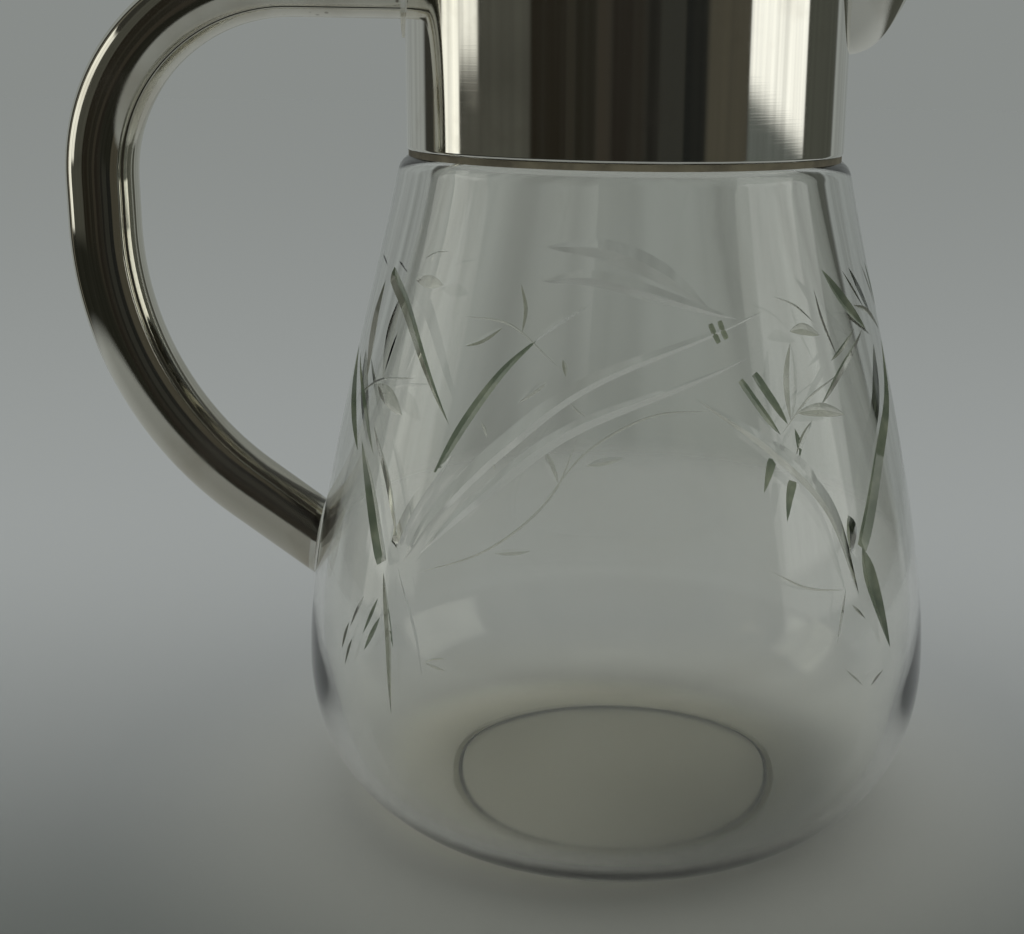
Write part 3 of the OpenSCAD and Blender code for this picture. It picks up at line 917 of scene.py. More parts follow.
@dataclass
class GlassBody:
    """The blown body, revolved, with the leaf cutting let into the front of its outside wall."""

    belly_d: float = 146.0
    belly_z: float = 39.1
    foot_d: float = 82.0
    foot_run: float = 8.0
    foot_pull: float = 30.0
    shoulder_r: float = 50.6
    ledge_z: float = 155.0
    side_pull: Point = (30.0, 28.0)
    turn_r: float = 4.498
    turn_lean: float = 12.0
    wall: float = 3.2
    inner_rise: float = 4.0
    floor: float = 4.2
    floor_d: float = 72.0
    floor_run: float = 21.0
    floor_pull: float = 26.4
    punt_d: float = 79.0
    punt_h: float = 1.8
    punt_edge: float = 1.2
    punt_ease: float = 0.45
    neck_r: float = 45.9
    neck_h: float = 19.0
    neck_drop: float = 3.0
    columns: int = 192
    wall_steps: int = 400
    heel_steps: int = 56
    inner_steps: int = 64
    flat_steps: int = 8
    round_steps: int = 12
    turn_steps: int = 8
    band: Point = (41.5, 146.5)
    cuts: tuple[Cut, ...] = FRONT_SPRIG + LEFT_SPRIG + RIGHT_SPRIG

    @property
    def belly_r(self) -> float:
        """Widest radius."""
        return self.belly_d / 2

    def side_controls(self, inset: float) -> list[Point]:
        """Control points of the side's curve, from the belly to the turn under the ledge.

        Args:
            inset: 0 for the outside wall, or the wall's thickness for the inside.

        Returns:
            Four (radius, height) points in mm.
        """
        low_pull, top_pull = self.side_pull
        lean = math.radians(self.turn_lean)
        slope = (top_pull * math.sin(lean), -top_pull * math.cos(lean))
        if inset:
            low = self.belly_z + self.inner_rise
            top = (self.neck_r - self.wall, self.ledge_z - self.neck_drop)
        else:
            low, top = self.belly_z, self.turn_start()
        r = self.belly_r - inset
        return [(r, low), (r, low + low_pull), (top[0] + slope[0], top[1] + slope[1]), top]

    def turn_centre(self) -> Point:
        """Centre of the small turn from the side to the ledge."""
        inward = self.turn_r * math.cos(math.radians(self.turn_lean))
        return self.shoulder_r - inward, self.ledge_z - self.turn_r

    def turn_start(self) -> Point:
        """Where the side meets the small turn."""
        return self.shoulder_r, self.turn_centre()[1] + self.turn_r * math.sin(math.radians(self.turn_lean))

    def build(self) -> bpy.types.Object:
        """Build the piece and stand it for its CAD node.

        Returns:
            The finished object.
        """
        mesher = Mesher()
        self._plain_outside(mesher)
        self._inside(mesher)
        self._cut_band(mesher)
        materials = [GLASS_FINISHES[facet].material() for facet in Facet]
        piece = new_piece(mesher.mesh("glass_wall"), *materials)
        return stand_for(piece, "glass_body", "jug")

    def _plain_outside(self, mesher: Mesher) -> None:
        """Add the underside, the foot, the shoulder above the cutting and the neck."""
        punt_r, foot_r = self.punt_d / 2, self.foot_d / 2
        neck_top, top_r = self.ledge_z + self.neck_h, self.wall / 2
        roof = punt_r - self.punt_edge
        ease = self.punt_edge * self.punt_ease
        low, high = self._band_rows()
        wall = self._wall_curve()
        hollow = line((0.0, self.punt_h), (roof, self.punt_h), self.flat_steps)
        edge = bezier(
            [(roof, self.punt_h), (roof + ease, self.punt_h), (punt_r - ease, 0.0), (punt_r, 0.0)],
            self.round_steps)
        revolve(mesher, hollow, self.columns, Facet.GROUND)
        revolve(mesher, edge, self.columns, Facet.GROUND)
        # the flat contact ring: worn rough, and tinted darker as painted shade
        revolve(mesher, line((punt_r, 0.0), (foot_r, 0.0), 2), self.columns, Facet.WORN_AND_SHADED)
        heel = [(foot_r, 0.0), (foot_r + self.foot_run, 0.0), (self.belly_r, self.belly_z - self.foot_pull),
                (self.belly_r, self.belly_z)]
        outlines = [
            bezier(heel, self.heel_steps),
            tuple(part[:low + 1] for part in wall),
            tuple(part[high:] for part in wall),
            arc(self.turn_centre(), self.turn_r, self.turn_lean, 90.0, self.turn_steps),
            line((self.turn_centre()[0], self.ledge_z), (self.neck_r, self.ledge_z)),
            line((self.neck_r, self.ledge_z), (self.neck_r, neck_top - top_r), 2),
            arc((self.neck_r - top_r, neck_top - top_r), top_r, 0.0, 180.0, self.round_steps),
        ]
        revolve_all(mesher, outlines, self.columns)

    def _wall_curve(self) -> Outline:
        """Points and directions along the outside wall."""
        return bezier(self.side_controls(0.0), self.wall_steps)

    def _band_rows(self) -> tuple[int, int]:
        """First and last step of the wall that carries the cutting."""
        heights = self._wall_curve()[0][:, 1]
        return int(np.searchsorted(heights, self.band[0])), int(np.searchsorted(heights, self.band[1]))

    def _inside(self, mesher: Mesher) -> None:
        """Add the bore of the neck, the inside of the belly and the floor."""
        bore, floor_r = self.neck_r - self.wall, self.floor_d / 2
        r, low = self.belly_r - self.wall, self.belly_z + self.inner_rise
        bore_top, bore_end = self.ledge_z + self.neck_h - self.wall / 2, self.ledge_z - self.neck_drop
        side = self.side_controls(self.wall)
        foot = [(floor_r, self.floor), (floor_r + self.floor_run, self.floor), (r, low - self.floor_pull),
                (r, low)]
        outlines = [
            line((bore, bore_top), (bore, bore_end), 3),
            turned(bezier(side, self.inner_steps)),
            turned(bezier(foot, self.heel_steps)),
            line((floor_r, self.floor), (0.0, self.floor), self.flat_steps),
        ]
        revolve_all(mesher, outlines, self.columns)

    def _cut_band(self, mesher: Mesher) -> None:
        """Add the outside wall between the plain stretches, with the cutting let into the front half."""
        low, high = self._band_rows()
        points, ways = (part[low:high + 1] for part in self._wall_curve())
        front = CutWall(points, ways, self.cuts, self.columns // 2)
        mesher.triangles(*front.sheet())
        rows = front.rows()
        at, out, _ = front.outline(np.stack([np.zeros_like(rows), rows], axis=1))
        behind = np.radians(np.arange(self.columns // 2 + 1) * 360.0 / self.columns)
        mesher.grid(spin(at, behind), spin(out, behind))


class CutWall:
    """Half of the outside wall, laid flat as (angle, length along the side), with grooves pressed in.

    REACH is the radius at which angles are laid flat, CLEAR the distance that plain points keep from a cut,
    MARGIN the least width, and TOUCH a depth or a gap that counts as none, all in mm. END_SLOPE is how
    steeply a square end goes down.
    """

    REACH = 62.0
    CLEAR = 0.7
    MARGIN = 0.02
    TOUCH = 1e-4
    END_SLOPE = 0.8

    def __init__(self, points: np.ndarray, ways: np.ndarray, cuts: Sequence[Cut], columns: int) -> None:
        """Keep the wall's outline and lay out the cuts.

        Args:
            points: (radius, height) along the wall in mm, rising.
            ways: directions there.
            cuts: the cuts of this half.
            columns: columns over the half turn.
        """
        self.points = points
        self.ways = ways
        self.run = np.r_[0.0, np.cumsum(np.hypot(*np.diff(points, axis=0).T))]
        self.columns = columns
        self.cuts = cuts
        self.tracks = [self._track(cut) for cut in cuts]

    def _track(self, cut: Cut) -> dict[str, np.ndarray]:
        """Flatten one cut.

        Returns:
            Its spine, left and right edges, stretch round the jug and half widths, point by point.
        """
        path, share = cut.spine()
        across = np.radians(path[:, 0]) * self.REACH
        along = np.interp(path[:, 1], self.points[:, 1], self.run)
        stretch = np.interp(along, self.run, self.points[:, 0]) / self.REACH
        spine = np.stack([across, along], axis=1)
        way = np.gradient(spine, axis=0) * np.stack([stretch, np.ones_like(stretch)], axis=1)
        way /= np.linalg.norm(way, axis=1, keepdims=True)
        side = np.stack([-way[:, 1] / stretch, way[:, 0]], axis=1)
        width = np.maximum(cut.widths(share), self.MARGIN)
        left, right = width * cut.lean, width * (1 - cut.lean)
        return {"spine": spine, "left": spine + side * left[:, None], "right": spine - side * right[:, None],
                "half": np.stack([left, right], axis=1), "width": width, "stretch": stretch}

    def _measure(self, flat: np.ndarray, number: int) -> tuple[np.ndarray, np.ndarray, np.ndarray]:
        """Set flat points against one cut.

        Args:
            flat: points on the flat wall.
            number: which cut.

        Returns:
            Depth in mm, side of the spine (0 left, 1 right) and distance outside the edge.
        """
        track, cut = self.tracks[number], self.cuts[number]
        scale = np.array([track["stretch"].mean(), 1.0])
        spine = track["spine"] * scale
        start, leg = spine[:-1], np.diff(spine, axis=0)
        offset = flat[:, None] * scale - start[None]
        size = (leg ** 2).sum(1)
        share = np.clip((offset * leg[None]).sum(2) / size, 0, 1)
        away = offset - share[..., None] * leg[None]
        distance = np.linalg.norm(away, axis=2)
        nearest = distance.argmin(1)
        row = np.arange(len(flat))
        share, distance, away = share[row, nearest], distance[row, nearest], away[row, nearest]
        cross = leg[nearest, 0] * away[:, 1] - leg[nearest, 1] * away[:, 0]
        side = (cross < 0).astype(int)
        half = track["half"][nearest, side] * (1 - share) + track["half"][nearest + 1, side] * share
        width = track["width"][nearest] * (1 - share) + track["width"][nearest + 1] * share
        slope = np.clip(1 - distance / np.maximum(half, TINY), 0, 1)
        if cut.kind is CutKind.OLIVE:
            slope = 1 - (1 - slope) ** 2
        ends = np.minimum(nearest + share, len(leg) - nearest - share) * np.sqrt(size.mean())
        limit = np.inf if cut.blunt is Blunt.NONE else ends * self.END_SLOPE
        return np.minimum(slope * width * cut.depth, limit), side, distance - half

    def sheet(self) -> tuple[np.ndarray, np.ndarray, np.ndarray, np.ndarray]:
        """Triangulate the half wall.

        Returns:
            Points in mm, triangles, a normal for each triangle corner and the look of each triangle.
        """
        flat, corners = self._triangulate()
        depth = self._deepest(flat)[0]
        place = self._place(flat, depth)
        middle = flat[corners].mean(1)
        cut_depth, owner, side = self._deepest(middle)
        low = depth[corners].max(1)
        owner = np.where((cut_depth > self.TOUCH) & (low > self.TOUCH), owner, -1)
        smooth = self._smooth_normals(flat)
        normals = smooth[corners]
        first, second, third = (place[corners[:, i]] for i in range(3))
        facet = np.cross(second - first, third - first)
        split = [cut.kind is not CutKind.OLIVE for cut in self.cuts]
        group = np.where(owner >= 0, owner * 2 + side * np.array(split + [False])[owner], -1)
        for number in np.unique(group[group >= 0]):
            rows = np.where(group == number)[0]
            sums = np.zeros_like(smooth)
            np.add.at(sums, corners[rows].ravel(), np.repeat(facet[rows], 3, axis=0))
            picked = sums[corners[rows]]
            normals[rows] = picked / np.maximum(np.linalg.norm(picked, axis=2, keepdims=True), TINY)
        facets = np.full(len(corners), Facet.CLEAR.value)
        for number, cut in enumerate(self.cuts):
            rows = owner == number
            facets[rows] = cut.facets(side[rows])
        return place, corners, normals, facets

    def rows(self) -> np.ndarray:
        """Lengths along the side at which the wall is divided."""
        pitch = math.pi * self.REACH / self.columns
        return np.linspace(0.0, self.run[-1], round(self.run[-1] / pitch) + 1)

    def _triangulate(self) -> tuple[np.ndarray, np.ndarray]:
        """Cut the flat half wall into triangles that follow the grooves.

        Returns:
            Flat points and the corners of each triangle.
        """
        across = np.linspace(-math.pi, 0.0, self.columns + 1) * self.REACH
        along = self.rows()
        grid = np.stack(np.meshgrid(across, along), axis=2).reshape(-1, 2)
        edge = (np.isclose(grid[:, 0], across[0]) | np.isclose(grid[:, 0], across[-1])
                | np.isclose(grid[:, 1], 0.0) | np.isclose(grid[:, 1], along[-1]))
        gap = np.min([self._measure(grid, n)[2] for n in range(len(self.cuts))], axis=0)
        points = [Vector(p) for p in grid[edge | (gap > self.CLEAR)]]
        edges: list[tuple[int, int]] = []
        for track in self.tracks:
            for name in ("left", "spine", "right"):
                base = len(points)
                points.extend(Vector(p) for p in track[name])
                edges.extend((base + i, base + i + 1) for i in range(len(track[name]) - 1))
        done = delaunay_2d_cdt(points, edges, [], 0, self.TOUCH)
        return np.array([tuple(p) for p in done[0]]), np.array(done[2])

    def _deepest(self, flat: np.ndarray) -> tuple[np.ndarray, np.ndarray, np.ndarray]:
        """Deepest cut at flat points: its depth, its number and the side of its spine."""
        depth = np.zeros(len(flat))
        owner = np.full(len(flat), -1)
        side = np.zeros(len(flat), int)
        for number in range(len(self.cuts)):
            here, flank, _ = self._measure(flat, number)
            more = here > depth
            depth[more], owner[more], side[more] = here[more], number, flank[more]
        return depth, owner, side

    def outline(self, flat: np.ndarray) -> tuple[np.ndarray, np.ndarray, np.ndarray]:
        """Radius and height, outward normal in that plane, and angle at flat points."""
        at = np.stack([np.interp(flat[:, 1], self.run, self.points[:, i]) for i in (0, 1)], axis=1)
        way = np.stack([np.interp(flat[:, 1], self.run, self.ways[:, i]) for i in (0, 1)], axis=1)
        way /= np.linalg.norm(way, axis=1, keepdims=True)
        return at, np.stack([way[:, 1], -way[:, 0]], axis=1), flat[:, 0] / self.REACH

    def _place(self, flat: np.ndarray, depth: np.ndarray) -> np.ndarray:
        """Points in mm at a depth below the wall."""
        at, out, angle = self.outline(flat)
        at = at - out * depth[:, None]
        return np.stack([at[:, 0] * np.cos(angle), at[:, 0] * np.sin(angle), at[:, 1]], axis=1)

    def _smooth_normals(self, flat: np.ndarray) -> np.ndarray:
        """Normals of the uncut wall."""
        _, out, angle = self.outline(flat)
        return np.stack([out[:, 0] * np.cos(angle), out[:, 0] * np.sin(angle), out[:, 1]], axis=1)


@dataclass(frozen=True)
class CollarSizes:
    """Sizes of the collar that the other pieces of the mount go by, in mm."""

    radius: float = 48.7
    thick: float = 1.2
    low: float = 155.6
    high: float = 211.7
    wire: float = 1.2

    @property
    def inside(self) -> float:
        """Inner radius."""
        return self.radius - self.thick


@dataclass
class Collar:
    """The tall polished band over the neck, with the strainer bored through it behind the spout.

    LEVEL, FACING and OUTWARD sort the faces by the parts of their normals.
    """

    sizes: CollarSizes = CollarSizes()
    edge: float = 1.0
    hole_d: float = 4.0
    hole_pitch: float = 6.0
    hole_rise: float = 5.6
    first_row: float = 185.5
    rows: int = 4
    columns: int = 192
    edge_steps: int = 8
    hole_sides: int = 32
    drill_share: float = 4.0
    finish: PlateFinish = PlateFinish("collar_plate", Grain.AROUND)

    LEVEL = 0.01
    FACING = 0.98
    OUTWARD = 0.02

    def build(self) -> bpy.types.Object:
        """Revolve the band, bore the strainer and stand the piece for its CAD node.

        Returns:
            The finished object.
        """
        material = self.finish.material()
        mesh = self._bored(new_object(self._band()), material)
        self._round_off(mesh)
        return stand_for(new_object(mesh), "collar_band", "jug")

    def _band(self) -> bpy.types.Mesh:
        """The plain band, with its lower edge turned in."""
        s, mesher = self.sizes, Mesher()
        turn = s.radius - self.edge
        outlines = [
            line((s.inside, s.low), (turn, s.low)),
            arc((turn, s.low + self.edge), self.edge, -90.0, 0.0, self.edge_steps),
            line((s.radius, s.low + self.edge), (s.radius, s.high)),
            line((s.radius, s.high), (s.inside, s.high)),
            line((s.inside, s.high), (s.inside, s.low)),
        ]
        revolve_all(mesher, outlines, self.columns)
        return mesher.mesh("collar")

    def _bored(self, band: bpy.types.Object, material: bpy.types.Material) -> bpy.types.Mesh:
        """Take the strainer's holes out of the band, one more in each higher row.

        Args:
            band: the plain band; it is removed.
            material: finish of the result.

        Returns:
            The bored band.
        """
        tree = GeometryTree("strainer", {
            "Radius": self.sizes.radius * MM,
            "Hole Radius": self.hole_d / 2 * MM,
            "Pitch": self.hole_pitch * MM,
            "Rise": self.hole_rise * MM,
            "First Row": self.first_row * MM,
            "Drill": self.drill_share * self.sizes.thick * MM,
        })
        nodes, radius = tree.nodes, tree.input("Radius")
        drill = nodes.add("GeometryNodeMeshCylinder", None, {
            "Vertices": self.hole_sides, "Radius": tree.input("Hole Radius"), "Depth": tree.input("Drill")})
        index = nodes.add("GeometryNodeInputIndex")
        joined = nodes.add("GeometryNodeJoinGeometry")
        for row in range(self.rows):
            angle = (index - (row + 1) / 2) * tree.input("Pitch") * (1.0 / self.sizes.radius / MM)
            height = tree.input("First Row") + tree.input("Rise") * row
            place = nodes.vector(radius * angle.cosine(), radius * angle.sine(), height)
            points = nodes.add("GeometryNodePoints", None, {"Count": row + 2, "Position": place})
            turn = nodes.add("FunctionNodeEulerToRotation", None, {0: nodes.vector(0.0, math.pi / 2, angle)})
            drills = nodes.add("GeometryNodeInstanceOnPoints", None, {
                "Points": points, "Instance": drill, "Rotation": turn})
            nodes.tree.links.new(drills.raw, joined.raw.node.inputs[0])
        solid = nodes.add("GeometryNodeRealizeInstances", None, {"Geometry": joined})
        bored = nodes.add("GeometryNodeMeshBoolean", {"operation": "DIFFERENCE", "solver": "EXACT"}, {
            0: tree.input("Geometry"), 1: solid})
        return tree.run(band, bored, material)

    def _round_off(self, mesh: bpy.types.Mesh) -> None:
        """Give the round walls and the turned edge their true normals."""
        normals = []
        for polygon in mesh.polygons:
            polygon.use_smooth = True
            for vertex in polygon.vertices:
                normals.append(self._normal(mesh.vertices[vertex].co / MM, polygon.normal))
        mesh.normals_split_custom_set(normals)

    def _normal(self, at: Vector, flat: Vector) -> Vector:
        """Normal at a point in mm of a face with the flat normal given."""
        out = Vector((at.x, at.y, 0.0)).normalized()
        lean = flat.dot(out)
        if abs(flat.z) < self.LEVEL and abs(lean) > self.FACING:
            return out * math.copysign(1.0, lean)
        if lean > self.OUTWARD and at.z < self.sizes.low + self.edge + self.LEVEL:
            centre = out * (self.sizes.radius - self.edge) + Vector((0.0, 0.0, self.sizes.low + self.edge))
            return (at - centre).normalized()
        return flat.copy()


@dataclass
class Spout:
    """The keeled beak: two turned halves that meet at the mid-plane and run into the collar."""

    collar: CollarSizes = CollarSizes()
    axis: Point = (46.0, -8.0)
    controls: tuple[Point, ...] = ((8.5, 177.3), (17.0, 179.9), (17.5, 199.7), (32.69, 211.7))
    sheet: float = 1.1
    rows: int = 48
    columns: int = 28
    finish: PlateFinish = PlateFinish("spout_plate")

    @property
    def lip(self) -> float:
        """Radius of the lip about the turning axis."""
        return self.controls[-1][0]

    def reach(self, radius: float) -> Point:
        """Angles at which a ring of the near half leaves the mid-plane and meets the collar.

        Args:
            radius: the ring's radius about the turning axis.

        Returns:
            First and last angle in radians.
        """
        x, y = self.axis
        keel = math.asin(min(1.0, -y / radius))
        across = (self.collar.radius ** 2 - x * x - y * y - radius ** 2) / (2 * radius)
        wall = math.atan2(y, x) + math.acos(across / math.hypot(x, y))
        return min(keel, wall), wall

    def ring(self, radius: float) -> np.ndarray:
        """Angles along one ring of the near half."""
        return np.linspace(*self.reach(radius), self.columns + 1)

    def build(self) -> bpy.types.Object:
        """Build both halves as one beak and stand it for its CAD node.

        Returns:
            The finished object.
        """
        mesher = Mesher()
        outside, inside = self._sheet(0.0), self._sheet(self.sheet)
        flip = np.array([1.0, -1.0, 1.0])
        far_outside, far_inside = (tuple(part[:, ::-1] * flip for part in face) for face in (outside, inside))
        plate(mesher, outside, inside, (False, True))
        plate(mesher, far_outside, far_inside, (True, False))
        piece = new_piece(mesher.mesh("spout"), self.finish.material())
        return stand_for(piece, "spout_beak", "jug")

    def _sheet(self, inset: float) -> Outline:
        """Points and outward normals of one face of the near half."""
        points, ways = bezier(self.controls, self.rows)
        places, normals = [], []
        for (radius, height), (run, rise) in zip(points, ways):
            angles = self.ring(radius - inset)
            ray = np.stack([np.cos(angles), np.sin(angles)], axis=1)
            level = np.full((len(angles), 1), height)
            places.append(np.hstack([np.array(self.axis) + ray * (radius - inset), level]))
            normals.append(np.hstack([ray * rise, np.full((len(angles), 1), -run)]))
        return np.array(places), np.array(normals)


@dataclass
class RimWire:
    """The round wire that stiffens the rim and runs out round the lip of the spout."""

    collar: CollarSizes = CollarSizes()
    spout: Spout = field(default_factory=Spout)
    steps: int = 160
    sides: int = 20
    finish: PlateFinish = PlateFinish("wire_plate")

    def build(self) -> bpy.types.Object:
        """Sweep the wire along its path and stand it for its CAD node.

        Returns:
            The finished object.
        """
        tree = GeometryTree("wire", {"Wire Radius": self.collar.wire * MM})
        ring = tree.nodes.add("GeometryNodeCurvePrimitiveCircle", None, {
            "Resolution": self.sides, "Radius": tree.input("Wire Radius")})
        swept = tree.nodes.add("GeometryNodeCurveToMesh", None, {0: tree.input("Geometry"), 1: ring})
        smooth = tree.nodes.add("GeometryNodeSetShadeSmooth", None, {"Geometry": swept})
        mesh = tree.run(new_object(self._path()), smooth, self.finish.material())
        return stand_for(new_object(mesh), "rim_wire", "jug")

    def _path(self) -> bpy.types.Curve:
        """Closed path: out along one side of the lip, round the collar and back along the other side."""
        angles = self.spout.ring(self.spout.lip)
        near = np.array(self.spout.axis) + self.spout.lip * np.stack([np.cos(angles), np.sin(angles)], axis=1)
        start = math.atan2(near[-1, 1], near[-1, 0])
        turn = np.linspace(start, 2 * math.pi - start, self.steps)[1:-1]
        round_collar = self.collar.radius * np.stack([np.cos(turn), np.sin(turn)], axis=1)
        flat = np.vstack([near, round_collar, near[:0:-1] * (1.0, -1.0)])
        curve = bpy.data.curves.new("rim_bead", "CURVE")
        curve.dimensions = "3D"
        spline = curve.splines.new("POLY")
        spline.points.add(len(flat) - 1)
        spline.use_cyclic_u = True
        height = (self.collar.high - self.collar.wire) * MM
        for point, (x, y) in zip(spline.points, flat * MM):
            point.co = (x, y, height, 1.0)
        return curve


@dataclass
class Handle:
    """The tube handle: an outer shell and an inner strip that meet in two sunk seams."""

    arm_z: float = 191.5
    arm_from: float = 49.6
    arm_x: float = 73.5
    bend_r: float = 44.0
    grip: float = 10.0
    back_r: float = 77.0
    end_way: Point = (0.8, -0.6)
    end_point: Point = (-70.58, 63.81)
    end_lean: float = 9.198
    end_gap: float = 1.6
    tube_r: float = 8.0
    wall: float = 0.9
    strip_half: float = 43.0
    seam: float = 0.32
    seam_width: float = 2.2
    seam_reach: float = 6.0
    seam_step: float = 0.6
    shell_columns: int = 112
    strip_columns: int = 40
    arm_rows: int = 7
    bend_rows: int = 36
    back_rows: int = 28
    end_rows: int = 6
    finish: PlateFinish = PlateFinish(
        "handle_plate", colour=(0.79, 0.765, 0.68), tarnish_below=0.0885, pits_from=(-0.085, 0.1795))

    def build(self) -> list[bpy.types.Object]:
        """Sweep both parts and stand them for their CAD nodes.

        Returns:
            The shell and the strip.
        """
        material = self.finish.material()
        seam = 180.0 - self.strip_half
        parts = {
            "handle_shell": ("handle_tube", -seam, seam, self.shell_columns),
            "handle_strip": ("handle_inlay", seam, 360 - seam, self.strip_columns),
        }
        beside = np.arange(0, self.seam_reach, self.seam_step)
        pieces = []
        for node, (name, first, last, columns) in parts.items():
            psi = np.unique(np.r_[np.linspace(first, last, columns + 1), first + beside, last - beside])
            bore = np.full(len(psi), self._bore())
            mesher = Mesher()
            plate(mesher, self._sweep(psi, self._radius(psi, seam)), self._sweep(psi, bore))
            pieces.append(stand_for(new_piece(mesher.mesh(name), material), node, "jug"))
        return pieces

    def _bore(self) -> float:
        """Inner radius of the tube."""
        return self.tube_r - self.wall

    def _radius(self, psi: np.ndarray, seam: float) -> np.ndarray:
        """Outer radius round the section, sunk beside the seams."""
        away = np.abs(np.abs((psi + 180.0) % 360.0 - 180.0) - seam)
        return self.tube_r - self.seam * np.exp(-(away / self.seam_width) ** 2)

    def _sweep(self, psi: np.ndarray, radius: np.ndarray) -> Outline:
        """Carry a section from the collar to the glass.

        Args:
            psi: angles round the section in degrees, from the outside of the bend.
            radius: radius at each angle.

        Returns:
            Points and outward normals, one row for each station.
        """
        a = np.radians(psi)
        out, side = radius * np.cos(a), radius * np.sin(a)
        slope = np.gradient(radius, a)
        flat = np.stack([out + slope * np.sin(a), side - slope * np.cos(a)], axis=1)
        flat /= np.linalg.norm(flat, axis=1, keepdims=True)
        places, normals = [], []
        for centre, outward in self._stations(out, side):
            x, z = (centre + out[:, None] * outward).T
            places.append(np.stack([x, side, z], axis=1))
            normals.append(np.stack([flat[:, 0] * outward[0], flat[:, 1], flat[:, 0] * outward[1]], axis=1))
        return np.array(places), np.array(normals)

    def _stations(self, out: np.ndarray, side: np.ndarray) -> list[tuple[np.ndarray, np.ndarray]]:
        """Centre of the section for each of its points, and the outward direction, station by station."""
        ones = np.ones_like(out)[:, None]
        stations = []
        start = -np.sqrt(self.arm_from ** 2 - side ** 2)
        for share in np.linspace(0.0, 1.0, self.arm_rows + 1):
            x = start * (1 - share) - self.arm_x * share
            stations.append((np.stack([x, np.full_like(x, self.arm_z)], axis=1), np.array([0.0, 1.0])))
        bend = np.array([-self.arm_x, self.arm_z - self.bend_r])
        for turn in np.radians(np.linspace(90.0, 180.0, self.bend_rows + 1))[1:]:
            ray = np.array([math.cos(turn), math.sin(turn)])
            stations.append((ones * (bend + self.bend_r * ray), ray))
        back = bend + (self.back_r - self.bend_r, -self.grip)
        last = 180.0 + math.degrees(math.acos(-self.end_way[1]))
        for turn in np.radians(np.linspace(180.0, last, self.back_rows + 1)):
            ray = np.array([math.cos(turn), math.sin(turn)])
            stations.append((ones * (back + self.back_r * ray), ray))
        lean = math.radians(self.end_lean)
        normal, way = np.array([-math.cos(lean), math.sin(lean)]), np.array(self.end_way)
        centre, ray = stations[-1]
        edge = centre + out[:, None] * ray
        run = ((edge - self.end_point) @ normal - self.end_gap) / -(way @ normal)
        for share in np.linspace(0.0, 1.0, self.end_rows + 1)[1:]:
            stations.append((centre + (run * share)[:, None] * way, ray))
        return stations


@dataclass
class Lid:
    """The shallow domed cover with a flat brim."""

    low: float = 212.05
    radius: float = 49.9
    brim: float = 5.0
    dome_h: float = 14.0
    thick: float = 1.0
    columns: int = 192
    dome_steps: int = 40
    brim_steps: int = 8
    finish: PlateFinish = PlateFinish("lid_plate", Grain.AROUND)

    def build(self) -> bpy.types.Object:
        """Revolve the cover and stand it for its CAD node.

        Returns:
            The finished object.
        """
        mesher = Mesher()
        half, dome_r = self.thick / 2, self.radius - self.brim
        ball = (dome_r ** 2 + self.dome_h ** 2) / (2 * self.dome_h)
        side = 90.0 - math.degrees(math.asin(dome_r / ball))
        under, top = self.low + self.dome_h - ball, self.low + self.dome_h - ball + self.thick
        outlines = [
            turned(arc((0.0, under), ball, side, 90.0, self.dome_steps)),
            line((dome_r, self.low), (self.radius - half, self.low)),
            arc((self.radius - half, self.low + half), half, -90.0, 90.0, self.brim_steps),
            line((self.radius - half, self.low + self.thick), (dome_r, self.low + self.thick)),
            arc((0.0, top), ball, side, 90.0, self.dome_steps),
        ]
        revolve_all(mesher, outlines, self.columns)
        piece = new_piece(mesher.mesh("lid_dome"), self.finish.material())
        return stand_for(piece, "lid_cover", "lid")


@dataclass
class Fittings:
    """The small pieces of the mount whose CAD shapes are right as they are."""

    plate: PlateFinish = PlateFinish("fitting_plate", gloss=0.07)
    pin: PinFinish = PinFinish()
    cement: CementFinish = CementFinish()

    def dress(self, nodes: dict[str, bpy.types.Object]) -> None:
        """Give each CAD node its finish.

        Args:
            nodes: the CAD nodes by name.
        """
        finishes = {
            self.plate: ("handle_end_plate", "handle_joint_plate", "hinge_bracket", "lid_flange", "lid_strap",
                         "thumb_lift"),
            self.pin: ("hinge_pin",),
            self.cement: ("neck_cement",),
        }
        for finish, names in finishes.items():
            material = finish.material()
            for name in names:
                for slot in nodes[name].material_slots:
                    slot.material = material
                LOG.info("dressed %s in %s", name, finish.name)


@dataclass(frozen=True)
class Panel:
    """A soft-edged panel of the room, by azimuth from the camera's side and elevation, in degrees.

    The slant is the fall of its lower and upper edges for each degree of azimuth.
    """

    azimuth: Point
    elevation: Point
    colour: Colour
    soft: float = 2.0
    slant: float = 0.0


